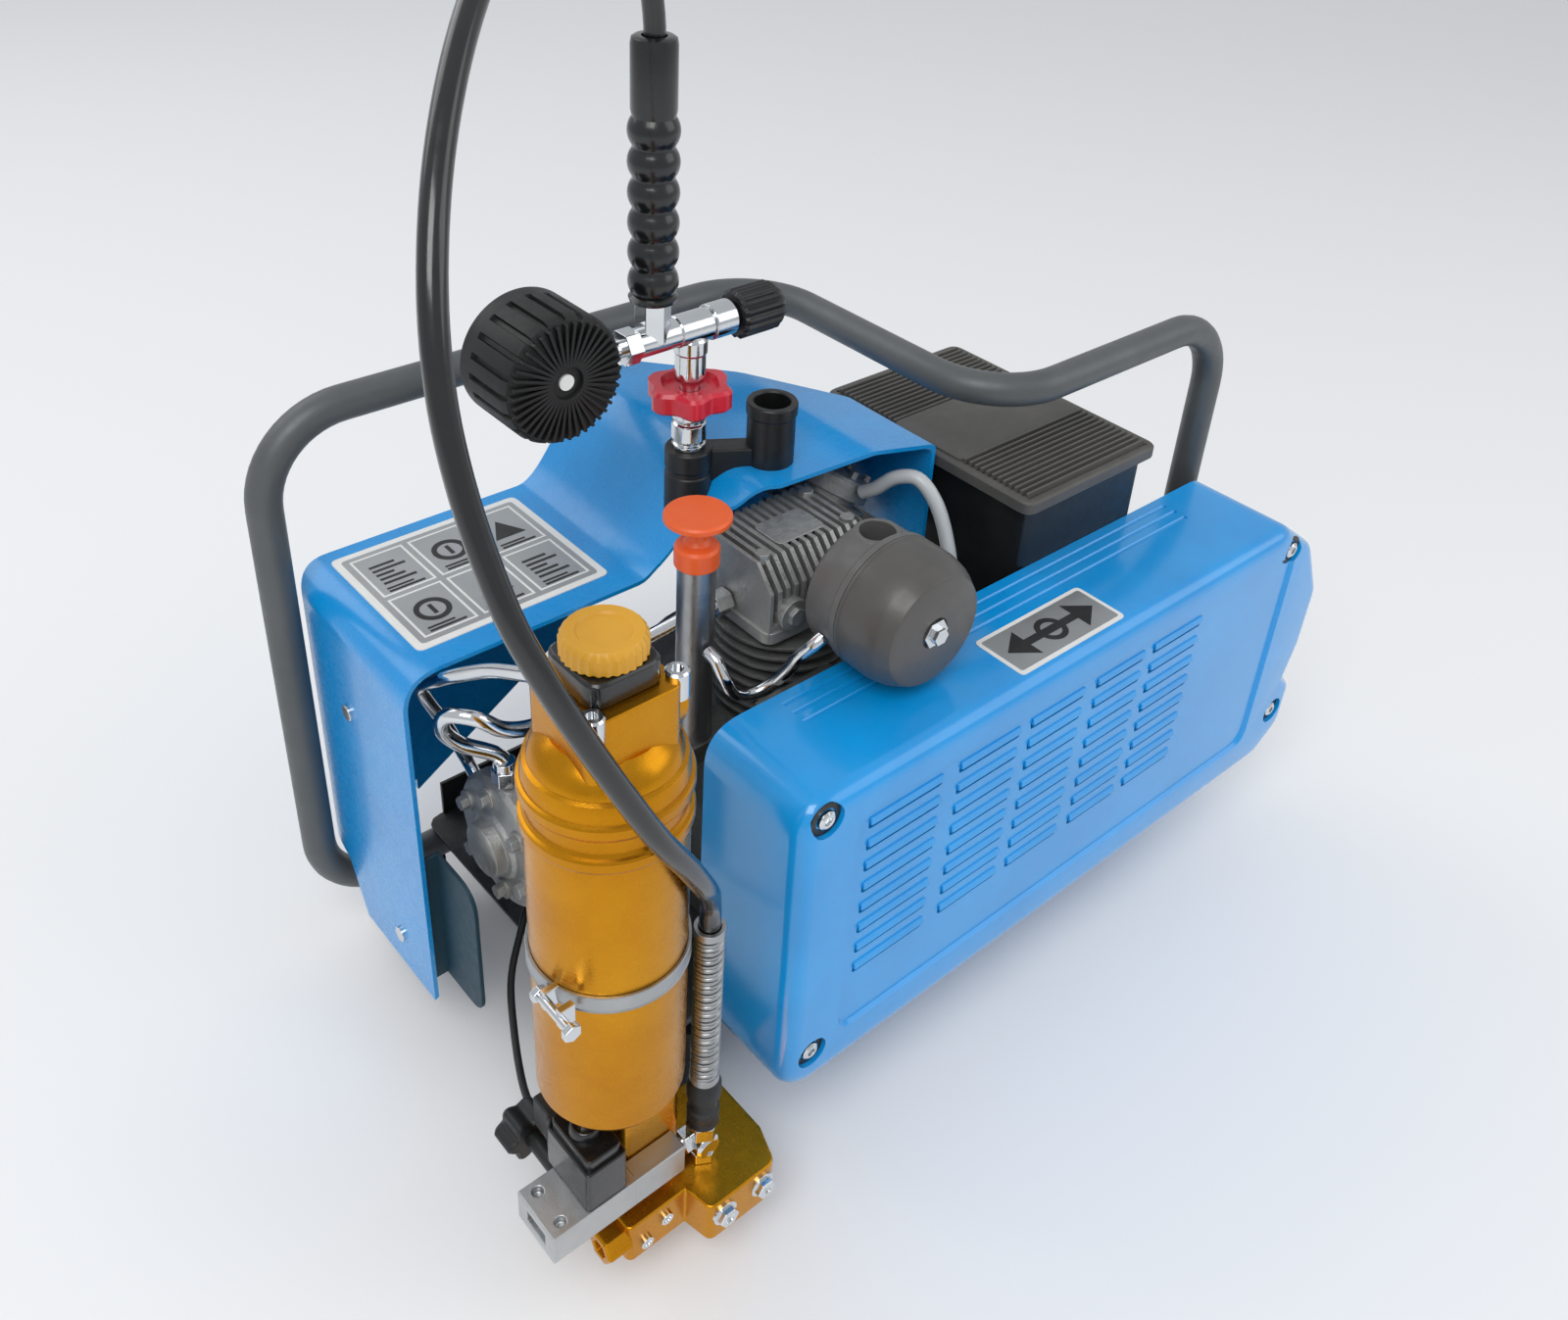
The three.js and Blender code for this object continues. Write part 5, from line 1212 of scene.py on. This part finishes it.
def makePipes(look):
    settle(pipeMesh(centripetal(pipeRuns["stage"], 90), look["stage"], 24), "stagePipe", brightChrome,
           stands="stage_pipe", soft=50,
           slot="chrome")
    settle(pipeMesh(centripetal(pipeRuns["delivery"], 80), look["thin"], 24), "deliveryPipe", brightChrome,
           stands="delivery_pipe",
           soft=50, slot="chrome")
    settle(pipeMesh(centripetal(pipeRuns["breather"], 70), 5, 24), "breatherHose", milkyHose,
           stands="breather_hose", soft=50,
           slot="clear_hose")
    settle(pipeMesh(centripetal(coolerLine(), 60), look["thin"], 24), "ventPipe", brightChrome,
           stands="cooler_pipe", soft=50,
           slot="chrome")

    def nuts(bm):
        n = look["nut"]
        addRod(bm, "z", n, 229, 240, (-241, 8), 6)
        addRod(bm, "x", n, -117, -105, (-34, 332), 6)
        addRod(bm, "y", n - 1, -131.6, -122.5, (-262, 420), 6)
        addRod(bm, "z", n - 1.5, 240, 246, (-241, 8.6), 20)

    piece(nuts, "pipeNuts", brightChrome, bevel=0.5, slot="chrome")


makePipes(pipeLook)

# filter tower
filterLook = {"x": -280, "y": -158, "r": 40.5, "bottom": 160, "top": 395, "headTop": 437, "headWide": 52,
              "bandZ": 266}


def makeFilterTower(look):
    x, y, r, bottom, top = look["x"], look["y"], look["r"], look["bottom"], look["top"]
    at = (x, y)

    def ring(z):
        return [(r, z - 4.5), (r + 1.4, z - 3.8), (r + 2, z - 2.4), (r + 2, z + 2.4), (r + 1.4, z + 3.8),
                (r, z + 4.5)]

    def body(bm):
        addTurned(bm, "z", [(0, bottom), (r - 7, bottom), (r - 2.4, bottom + 1.6),
                            (r, bottom + 6)] + ring(359.5) + [(r - 1, 366),
                            (r - 1, 373.4)] + ring(380) + [(r - 0.5, top - 5), (r - 1.6, top - 1.4),
                                                           (r - 4, top), (0, top)], at, 120)

    piece(body, "filterBody", goldAnodised, stands="filter_housing", soft=22, slot="gold_anodised")
    z0, w = top + 0.3, look["headWide"] / 2

    def shoulder(bm):
        addTurned(bm, "z", [(0, z0), (37, z0), (36.6, z0 + 2), (34.5, z0 + 7), (31, z0 + 11), (27, z0 + 14),
                            (0, z0 + 14)], at, 96)

    piece(shoulder, "filterShoulder", goldAnodised, soft=24, slot="gold_anodised")

    def block(bm):
        addPrism(bm, "z", roundedLine(oblong(x - w, x + w, y - w, y + w, 7), 6), z0 + 6, look["headTop"])

    piece(block, "filterBlock", goldAnodised, stands="filter_head", bevel=1.0, slot="gold_anodised")

    def flank(bm):
        addRod(bm, "x", 20, x + w - 10, x + w + 7, (y, z0 + 22), 64)

    settle(carve(freshMesh(flank), lambda bm: addBox(bm, x + w - 20, x + w + 8, y - 30, y + 30, z0 + 27,
                                                     z0 + 60)), "filterFlank",
           goldAnodised, bevel=0.8, slot="gold_anodised")

    def screws(bm):
        for sx, sy in ((x + w + 1, y - w + 8), (x - w + 4, y - w + 4)):
            addTurned(bm, "z", [(0, look["headTop"] - 12), (6, look["headTop"] - 12),
                                (6, look["headTop"] + 2), (5, look["headTop"] + 3),
                                (3, look["headTop"] + 3), (3, look["headTop"] + 0.8),
                                (0, look["headTop"] + 0.8)], (sx, sy), 40)

    piece(screws, "filterScrews", brightChrome, soft=24, slot="chrome")
    c0 = look["headTop"] + 0.3

    def collar(bm):
        outer = roundedLine(oblong(x - 20, x + 20, y - 20, y + 20, 9), 6)
        inner = roundedLine(oblong(x - 18.6, x + 18.6, y - 18.6, y + 18.6, 8), 6)
        addLoft(bm, "z", [(inner, c0), (outer, c0 + 1.2), (outer, c0 + 12.6), (inner, c0 + 14)])

    mesh = carve(freshMesh(collar), lambda bm: addRod(bm, "z", 13, c0 + 5, c0 + 16, at, 48))
    mesh = carve(mesh, lambda bm: addRod(bm, "z", 6.3, c0 - 1, c0 + 16, (x - w + 4, y - w + 4), 32))
    settle(mesh, "filterCollar", glossBlack, stands="filter_collar", bevel=0.4, slot="black_plastic")
    k0 = c0 + 14.3

    def cap(bm):
        def wave(radius, deep=0.9):
            return lambda a: radius - deep * (0.5 - 0.5 * math.cos(30 * a))

        addLoft(bm, "z", [(ringLine(0, 240, at, wave(19.4)), k0),
                          (ringLine(0, 240, at, wave(20.5)), k0 + 1),
                          (ringLine(0, 240, at, wave(20.5)), k0 + 8.8),
                          (ringLine(0, 240, at, wave(19.3, 0.3)), k0 + 10.8),
                          (ringLine(0, 240, at, wave(18.0, 0.0)), k0 + 12),
                          (ringLine(0, 240, at, wave(13.2, 0.0)), k0 + 12),
                          (ringLine(0, 240, at, wave(12.2, 0.0)), k0 + 10.9)])
        addRod(bm, "z", 12.4, k0 - 9, k0 + 1, at, 48)

    piece(cap, "filterCap", goldPlastic, body="cap", stands="filter_cap", soft=26, slot="gold_plastic")


makeFilterTower(filterLook)


def makeClampBand(look):
    x, y, r, z = look["x"], look["y"], look["r"], look["bandZ"]

    def band(bm):
        addTurned(bm, "z", [(r + 0.3, z - 5.6), (r + 1.6, z - 5.6), (r + 1.9, z - 5), (r + 1.4, z - 4.2),
                            (r + 1.4, z + 4.2),
                            (r + 1.9, z + 5), (r + 1.6, z + 5.6), (r + 0.3, z + 5.6), (r + 0.3, z - 5.6)],
                            (x, y), 110)

    piece(band, "clampBand", plainSteel, stands="clamp_band", soft=30, slot="steel")
    angle = math.radians(203)
    ex, ey = x + (r + 7) * math.cos(angle), y + (r + 7) * math.sin(angle)

    def screw(bm):
        addBox(bm, ex - 4, ex + 5, ey - 9, ey - 5, z - 6, z + 6)
        addBox(bm, ex - 4, ex + 5, ey + 5, ey + 9, z - 6, z + 6)
        addRod(bm, "y", 2.6, ey - 16, ey + 14, (ex - 3, z), 24)
        addRod(bm, "y", 5.2, ey - 19, ey - 15, (ex - 3, z), 6)
        addRod(bm, "y", 4.8, ey + 9.4, ey + 13.4, (ex - 3, z), 6)

    piece(screw, "clampScrew", brightChrome, bevel=0.5, slot="chrome")


makeClampBand(filterLook)
print("stage: filter tower")

# gold base block with its plugs, the side bar, coil and drain knob
baseLook = {"z0": 40, "z1": 72, "left": -296, "right": -196, "front": -196, "nose": -215, "rear": -140}


def makeBaseBlock(look):
    z0, z1, left, right, front, nose, rear = (look[k] for k in ("z0", "z1", "left", "right", "front",
        "nose", "rear"))
    outline = roundedLine([(left, front, 5), (-256, front), (-252, nose, 6), (right - 8, nose, 8),
                           (right, front + 4, 6),
                           (right, rear, 10), (left, rear, 5)], 6)
    piece(lambda bm: addPrism(bm, "z", outline, z0, z1), "baseBlock", goldAnodised, stands="base_manifold",
          bevel=1.4,
          slot="gold_anodised")
    piece(lambda bm: addPrism(bm, "z", roundedLine(oblong(-288, -248, -180, -136, 6), 6), z1 - 1, 159.7),
          "basePillar", goldAnodised,
          bevel=1.0, slot="gold_anodised")

    def plugs(bm):
        for px in (-214, -242):
            addTurned(bm, "y", [(0, nose - 4), (3, nose - 4), (3.6, nose - 6), (6.2, nose - 6),
                                (6.8, nose - 5.2), (6.8, nose + 1),
                                (0, nose + 1)], (px, z0 + 20), 6)
            addTurned(bm, "y", [(0, nose - 1.6), (8.2, nose - 1.6), (8.2, nose + 1), (0, nose + 1)],
                      (px, z0 + 20), 40)
        for pz, px in ((z0 + 20, -270), (z0 + 11, -284)):
            addTurned(bm, "y", [(0, front - 1), (2, front - 1), (2.4, front - 2.4), (4.2, front - 2.4),
                                (4.2, front + 1), (0, front + 1)],
                      (px, pz), 32)

    piece(plugs, "basePlugs", brightChrome, bevel=0.4, slot="chrome")

    def endPlug(bm):
        addTurned(bm, "x", [(0, left - 10), (5, left - 10), (6, left - 14), (9.4, left - 14),
                            (11, left - 12.6), (11, left + 2),
                            (0, left + 2)], (front + 9, z0 + 18), 6)

    piece(endPlug, "baseEndPlug", goldAnodised, bevel=0.6, slot="gold_anodised")


makeBaseBlock(baseLook)
sideLook = {"left": -343, "right": -288.3, "front": -194, "rear": -158, "z0": 88, "z1": 110, "knobX": -315,
            "knobZ": 99, "knobR": 16}


def makeSideBar(look):
    left, right, front, rear, z0, z1 = (look[k] for k in ("left", "right", "front", "rear", "z0", "z1"))
    mesh = freshMesh(lambda bm: [addBox(bm, left, right, front, rear, z0, z1)])
    mesh = carve(mesh, lambda bm: addBox(bm, left - 1, left + 5, front + 9, rear - 9, z0 + 6, z1 - 6))
    mesh = carve(mesh, lambda bm: [addRod(bm, "z", 3, z1 - 5, z1 + 1, (left + 9, y),
                                          24) for y in (front + 7, rear - 7)])
    settle(mesh, "sideBar", bareAluminium, stands="valve_block", bevel=0.9, slot="bare_aluminium")
    piece(lambda bm: addBox(bm, -289, -255, front, -180.3, z0, z1), "sideBarNose", bareAluminium, bevel=0.9,
          slot="bare_aluminium")
    c0 = z1 + 0.3

    def coil(bm):
        outline = roundedLine(oblong(-320, -294, -193, -152, 3), 5)
        addPrism(bm, "z", outline, c0, c0 + 31)
        addPrism(bm, "z", roundedLine(oblong(-318, -296, -191, -154, 4), 5), c0 + 30, c0 + 38)
        addTurned(bm, "z", [(0, c0 + 37), (9, c0 + 37), (9, c0 + 41), (7.6, c0 + 44), (0, c0 + 44)],
                  (-307, -172), 48)

    piece(coil, "coilBody", glossBlack, stands="solenoid_coil", bevel=1.1, slot="black_plastic")

    def plug(bm):
        addBox(bm, -317, -297, -153, -135, c0 + 10, c0 + 34)
        addBox(bm, -319, -295, -155, -151, c0 + 8, c0 + 36)

    piece(plug, "coilPlug", blackPlastic, bevel=1.2, slot="black_plastic")
    piece(lambda bm: addRod(bm, "z", 4.4, c0 + 43, c0 + 47, (-307, -172), 6), "coilNut", brightChrome,
          bevel=0.4, slot="chrome")
    kx, kz, kr = look["knobX"], look["knobZ"], look["knobR"]

    def knob(bm):
        def wave(radius):
            return lambda a: radius - 4 * (0.5 - 0.5 * math.cos(6 * a)) * radius / kr

        addLoft(bm, "y", [(ringLine(0, 144, (kx, kz), wave(kr - 1.6)), -130),
                          (ringLine(0, 144, (kx, kz), wave(kr)), -128.4),
                          (ringLine(0, 144, (kx, kz), wave(kr)), -114),
                          (ringLine(0, 144, (kx, kz), wave(kr - 1.6)), -112)])
        addRod(bm, "y", 5, rear + 0.3, -129, (kx, kz), 32)

    piece(knob, "drainKnob", blackPlastic, body="drain", stands="drain_knob", bevel=0.3, soft=26,
          slot="black_plastic")


makeSideBar(sideLook)
coilWire = [(-218, 24, 116), (-222, 18, 113), (-240, 2, 103), (-262, -20, 92), (-280, -52, 84),
            (-296, -88, 84), (-305, -116, 98),
            (-307, -128, 120), (-307, -135, 133)]
settle(pipeMesh(centripetal(coilWire, 60), 2.4, 12), "coilWire", rubberBlack, soft=60, slot="rubber")
print("stage: base block")

# hose end at the base: elbow, ferrule and the wound spring guard
endLook = {"x": -234, "y": -183, "guardR": 7.3, "wire": 1.15, "turns": 36, "from": 146, "to": 262}


def makeHoseEnd(look):
    x, y = look["x"], look["y"]
    at = (x, y)

    def elbow(bm):
        addTurned(bm, "z", [(0, 84), (7, 84), (7, 94), (0, 94)], at, 40)
        addRod(bm, "z", 10, 93.5, 104, at, 6)
        addRod(bm, "z", 9.5, 72.3, 80, at, 6)
        addTurned(bm, "y", [(0, y - 8), (6.6, y - 8), (8.5, y - 6), (8.5, y + 8), (6.6, y + 10),
                            (0, y + 10)], (x, 84), 40)
        addRod(bm, "x", 5.5, -247.7, x, (y + 5, 86), 32)
        addRod(bm, "x", 8.2, -246.6, -239.4, (y + 5, 86), 6)

    piece(elbow, "hoseElbow", brightChrome, stands="hose_elbow", bevel=0.5, slot="chrome")
    piece(lambda bm: addTurned(bm, "z", [(0, 104.3), (9.5, 104.3), (9.5, 106), (9, 107), (9, 109),
                                         (9.5, 110), (9.5, 116), (8, 118),
                                         (8, 126), (10, 128), (10, 138), (8.5, 142), (0, 142)], at, 56),
                                         "hoseFerrule", blackSteel,
          stands="hose_ferrule", bevel=0.3, slot="black_steel")
    turns, a, b = look["turns"], look["from"], look["to"]
    line = []
    for k in range(turns * 16 + 1):
        t = k / (turns * 16)
        swing = 2 * math.pi * turns * t
        line.append((x + look["guardR"] * math.cos(swing), y + look["guardR"] * math.sin(swing),
                     a + (b - a) * t))
    settle(pipeMesh(line, look["wire"], 8), "springGuard", plainSteel, stands="spring_guard", soft=60,
           slot="steel")
    piece(lambda bm: addTurned(bm, "z", [(0, 142.3), (6.2, 142.3), (6.2, 236.5), (0, 236.5)], at, 32),
          "springCore", blackSteel,
          slot="black_steel")
    piece(lambda bm: [addTurned(bm, "z", [(6.2, h), (8.6, h), (8.6, h + 5), (6.2, h + 5), (6.2, h)], at,
                                48) for h in (142.4, 260.6)],
          "springEnds", plainSteel, bevel=0.3, slot="steel")


makeHoseEnd(endLook)

# the fill valve standing in its post: grip, bar, handwheel, knob
valveLook = {"x": -88, "y": 28, "z": 486, "hoseX": -116, "wheelR": 27, "wheelZ": 443}


def makeGrip(look):
    at = (look["hoseX"], look["y"])
    profile = [(0, 510), (11.5, 510), (13.6, 511), (14.3, 513)]
    for i in range(6):
        a = 514 + i * 17.2
        for k in range(9):
            t = k / 8
            profile.append((12.0 + 2.6 * math.sin(math.pi * t) ** 0.8, a + 0.8 + 15.4 * t))
    profile += [(12.8, 620), (12.8, 654), (12.2, 657), (10.6, 658), (7, 658), (7, 635), (0, 635)]
    piece(lambda bm: addTurned(bm, "z", profile, at, 72), "hoseGrip", glossBlack, stands="hose_grip",
          soft=34, slot="rubber")


makeGrip(valveLook)


def makeValve(look):
    x, y, z, hx, wz = look["x"], look["y"], look["z"], look["hoseX"], look["wheelZ"]

    def bar(bm):
        addTurned(bm, "x", [(0, -134), (8, -134), (9, -133), (9, -101), (9.8, -100), (9.8, -77), (9, -76),
                            (9, -58), (8, -57), (0, -57)],
                  (y, z), 48)
        addRod(bm, "x", 5.5, -158.5, -130, (y, z), 40)
        addRod(bm, "x", 11, -139, -129, (y, z), 6)
        addTurned(bm, "x", [(0, -76), (10.4, -76), (11, -75.4), (11, -60.4), (10.4, -59.4), (0, -59.4)],
                  (y, z), 48)
        addTurned(bm, "z", [(0, wz + 9.3), (9.5, wz + 9.3), (9.5, 470), (10.4, 471), (10.4, 479), (9, 481),
                            (0, 481)], (x, y), 48)
        addRod(bm, "z", 6, 402, z, (x, y), 40)
        addRod(bm, "z", 10.5, z, 509.7, (hx, y), 6)
        addTurned(bm, "z", [(0, z + 4), (8.5, z + 4), (8.5, 509.7), (0, 509.7)], (hx, y), 40)

    piece(bar, "valveBar", brightChrome, stands="valve_body", bevel=0.5, slot="chrome")

    def nut(bm):
        addTurned(bm, "z", [(0, 392), (8.6, 392), (8.6, 406.3), (10.8, 406.3), (10.8, 409), (9.2, 410),
                            (9.2, 411.6), (11, 412.6),
                            (11, 423), (9.4, 424.4), (9.4, 426), (11, 427), (11, 435.7), (0, 435.7)],
                            (x, y), 12)

    piece(nut, "valveNut", brightChrome, bevel=0.4, slot="chrome")
    r = look["wheelR"]

    def wheel(bm):
        def wave(radius, deep):
            return lambda a: radius - deep * (0.5 - 0.5 * math.cos(6 * a))

        at = (x, y)
        addLoft(bm, "z", [(ringLine(0, 180, at, wave(14, 1)), wz - 4.0),
                          (ringLine(0, 180, at, wave(15.5, 1.2)), wz - 7),
                          (ringLine(0, 180, at, wave(r - 2, 5)), wz - 7),
                          (ringLine(0, 180, at, wave(r, 5)), wz - 5),
                          (ringLine(0, 180, at, wave(r, 5)), wz + 5),
                          (ringLine(0, 180, at, wave(r - 2, 5)), wz + 7),
                          (ringLine(0, 180, at, wave(18.4, 1)), wz + 7),
                          (ringLine(0, 180, at, wave(16.6, 0.5)), wz + 3)])

    mesh = carve(freshMesh(wheel), lambda bm: addRod(bm, "z", 6.3, wz - 8, wz + 8, (x, y), 40))
    settle(mesh, "handWheel", redPlastic, body="wheel", stands="handwheel", soft=26, slot="red_plastic")

    def knob(bm):
        def wave(radius, deep=1.8):
            return lambda a: radius - deep * (0.5 - 0.5 * math.cos(16 * a)) ** 1.4

        at = (y, z)
        addLoft(bm, "x", [(ringLine(0, 192, at, wave(13.4, 0.8)), -56.5),
                          (ringLine(0, 192, at, wave(15.5)), -54.6),
                          (ringLine(0, 192, at, wave(15.5)), -29),
                          (ringLine(0, 192, at, wave(13.8, 0.8)), -26.4),
                          (ringLine(0, 192, at, wave(11.6, 0)), -23.8),
                          (ringLine(0, 192, at, wave(9, 0)), -23)])

    piece(knob, "bleedKnob", blackPlastic, body="bleed", stands="valve_knob", soft=26, slot="black_plastic")


makeValve(valveLook)

# pressure gauge in its rubber boot; the dial looks to the rear
gaugeLook = {"x": -190, "z": 489, "r": 38, "front": 3, "rear": 53, "dialR": 26, "dialY": 39, "ribs": 40}


def makeGauge(look):
    x, z, r, front, rear = look["x"], look["z"], look["r"], look["front"], look["rear"]
    at = (x, z)

    def wave(radius, deep):
        return lambda a: radius - deep * (1 if math.cos(20 * a) > 0.55 else 0)

    rings = [(ringLine(0, 480, at, wave(r - 5, 0.2)), front + 3),
             (ringLine(0, 480, at, wave(r - 1.5, 1.6)), front + 4.4),
             (ringLine(0, 480, at, wave(r, 2.6)), front + 8),
             (ringLine(0, 480, at, wave(r, 2.6)), rear - 12),
             (ringLine(0, 480, at, wave(r, 0.0)), rear - 11),
             (ringLine(0, 480, at, wave(r, 0.0)), rear - 1.6),
             (ringLine(0, 480, at, wave(r - 1.6, 0.0)), rear)]
    mesh = freshMesh(lambda bm: addLoft(bm, "y", rings))
    mesh = carve(mesh, lambda bm: addTurned(bm, "y", [(0, front + 10), (r - 8, front + 10),
                                                      (r - 8, rear + 1), (0, rear + 1)], at, 96))
    mesh = carve(mesh, lambda bm: addTurned(bm, "y", [(0, front - 1), (5, front - 1), (5, front + 11),
                                                      (0, front + 11)], at, 40))
    settle(mesh, "gaugeBoot", rubberBlack, stands="gauge_boot", bevel=0.3, soft=28, slot="rubber")

    def fringe(bm):
        # rubber fins that fan out over the closed back
        for k in range(look["ribs"]):
            a = 2 * math.pi * k / look["ribs"]
            made = addBox(bm, 9.5, 34.5, front + 0.2, front + 4.5, -0.95, 0.95)
            turn = Matrix.Translation((x, 0, z)) @ Matrix.Rotation(a, 4, "Y")
            bmesh.ops.transform(bm, matrix=turn, verts=made)

    piece(fringe, "gaugeFringe", rubberBlack, bevel=0.35, slot="rubber")
    piece(lambda bm: addTurned(bm, "y", [(0, front + 2), (4.6, front + 2), (4.6, front + 9),
                                         (0, front + 9)], at, 40), "gaugeVent",
          whitePaint, slot="white_paint")
    face, dialR = look["dialY"], look["dialR"]

    def case(bm):
        addTurned(bm, "y", [(0, front + 10.3), (r - 9, front + 10.3), (r - 9, rear - 4), (r - 10, rear - 3),
                            (dialR, rear - 3),
                            (dialR, face), (0, face)], at, 96)

    piece(case, "gaugeCase", whitePaint, stands="gauge_case", soft=30, slot="white_paint")
    piece(lambda bm: addTurned(bm, "y", [(dialR + 0.1, rear - 4.6), (r - 8.4, rear - 4.6),
                                         (r - 8.4, rear - 0.6), (r - 10, rear + 0.0),
                                         (dialR + 0.1, rear - 1), (dialR + 0.1, rear - 4.6)], at, 96),
                                         "gaugeBezel", plainSteel,
          bevel=0.3, slot="steel")

    def ticks(bm):
        for k in range(41):
            a = math.radians(225 - k * 6.75)
            major = k % 5 == 0
            made = addBox(bm, dialR - (6.4 if major else 3.8), dialR - 1.4, face - 0.2, face + 0.35,
                          -(0.55 if major else 0.28),
                          0.55 if major else 0.28)
            bmesh.ops.transform(bm, matrix=Matrix.Translation((x, 0, z)) @ Matrix.Rotation(a, 4, "Y"),
                                verts=made)

    piece(ticks, "dialTicks", blackPrint, slot="black_plastic")
    copyOf("gauge_needle", "gaugeNeedle", redPlastic, bevel=0.15, body="needle", soft=30,
           slot="red_plastic")
    piece(lambda bm: addTurned(bm, "y", [(0, rear - 3.4), (dialR - 0.1, rear - 3.4),
                                         (dialR - 0.1, rear - 2.0), (0, rear - 2.0)], at, 72),
          "gaugeGlass", gaugeGlass, slot="clear_hose")


def makeDialNumbers(look):
    # plain numbers on the dial, read from the rear
    x, z, face = look["x"], look["z"], look["dialY"]
    for k, word in enumerate(("0", "5", "10", "15", "20", "25", "30", "35", "40")):
        a = math.radians(225 - k * 33.75)
        data = bpy.data.curves.new("number", "FONT")
        data.body = word
        data.size = 4.6
        data.align_x = "CENTER"
        data.align_y = "CENTER"
        data.extrude = 0.15
        holder = bpy.data.objects.new("number", data)
        bpy.context.scene.collection.objects.link(holder)
        graph = bpy.context.evaluated_depsgraph_get()
        mesh = bpy.data.meshes.new_from_object(holder.evaluated_get(graph))
        bpy.data.objects.remove(holder)
        bpy.data.curves.remove(data)
        rr = look["dialR"] - 9.4
        place = Vector((x - rr * math.cos(a), face + 0.2, z + rr * math.sin(a)))
        turn = Matrix(((-1, 0, 0), (0, 0, 1), (0, 1, 0))).to_4x4()
        mesh.transform(Matrix.Translation(place) @ turn)
        settle(mesh, "dialNumber" + str(k), blackPrint, slot="black_plastic")


makeGauge(gaugeLook)
makeDialNumbers(gaugeLook)
print("stage: valve and gauge")

# nodes of the machine itself that are still on show get the finish of their slot
slotFinishes = {"frame_paint": frameCoat, "black_steel": blackSteel, "rubber": rubberBlack,
                "blue_paint": blueSheet,
                "chrome": brightChrome, "cast_alloy": castAlloy, "steel": plainSteel,
                "black_plastic": blackPlastic}
nodeSlots = {part["node"]: part["material_slot"] for part in frame["record"]["subparts"]}
for nodeName, nodePiece in frame["nodes"].items():
    nodePiece.data.materials.clear()
    nodePiece.data.materials.append(slotFinishes.get(nodeSlots.get(nodeName), blackSteel))
print("stage: left nodes finished")


# floor and light
studioLook = {
    "floorSize": 6, "floor": (0.92, 0.92, 0.92, 1), "floorRough": 0.7, "sky": (0.93, 0.96, 1.0, 1),
    "skyStrength": 0.62,
    "aim": (0, 0, 0.25),
    "lamps": {  # place, size and power
        "keyLight": ((-1.5, -1.0, 2.4), 1.4, 30), "fillLight": ((1.9, -1.9, 1.8), 2.0, 15),
        "backLight": ((-0.9, 2.2, 2.2), 1.8, 14),
    },
}


def makeStudio(look):
    bm = bmesh.new()
    bmesh.ops.create_grid(bm, x_segments=1, y_segments=1, size=look["floorSize"])
    mesh = bpy.data.meshes.new("studioFloor")
    bm.to_mesh(mesh)
    bm.free()
    floor = bpy.data.objects.new("studioFloor", mesh)
    bpy.context.scene.collection.objects.link(floor)
    pale = bpy.data.materials.new("paleFloor")
    pale.use_nodes = True
    pale.node_tree.nodes["Principled BSDF"].inputs["Base Color"].default_value = look["floor"]
    pale.node_tree.nodes["Principled BSDF"].inputs["Roughness"].default_value = look["floorRough"]
    mesh.materials.append(pale)
    floor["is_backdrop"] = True
    world = bpy.data.worlds.new("studio")
    world.use_nodes = True
    world.node_tree.nodes["Background"].inputs["Color"].default_value = look["sky"]
    world.node_tree.nodes["Background"].inputs["Strength"].default_value = look["skyStrength"]
    bpy.context.scene.world = world
    bpy.context.scene.view_settings.view_transform = "Standard"
    for name, (place, size, power) in look["lamps"].items():
        data = bpy.data.lights.new(name, "AREA")
        data.energy = power
        data.size = size
        lamp = bpy.data.objects.new(name, data)
        lamp.location = place
        lamp.rotation_euler = (Vector(look["aim"]) - Vector(place)).to_track_quat("-Z", "Y").to_euler()
        bpy.context.scene.collection.objects.link(lamp)


makeStudio(studioLook)
print("stage: studio")


def plainNumbers(box):
    return [[round(float(v), 5) for v in corner] for corner in box]


def visualBounds():
    # a curve's own box counts its point radius, so the hose is measured along its line
    hosePiece.hide_render = True
    low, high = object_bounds()
    hosePiece.hide_render = False
    r = hoseLook["diameter"] / 2 * mm
    for point in hosePiece.data.splines[0].points:
        low = Vector(map(min, low, point.co.xyz - Vector((r, r, r))))
        high = Vector(map(max, high, point.co.xyz + Vector((r, r, r))))
    return low, high


{"cad": plainNumbers(cadBounds), "visual": plainNumbers(visualBounds())}
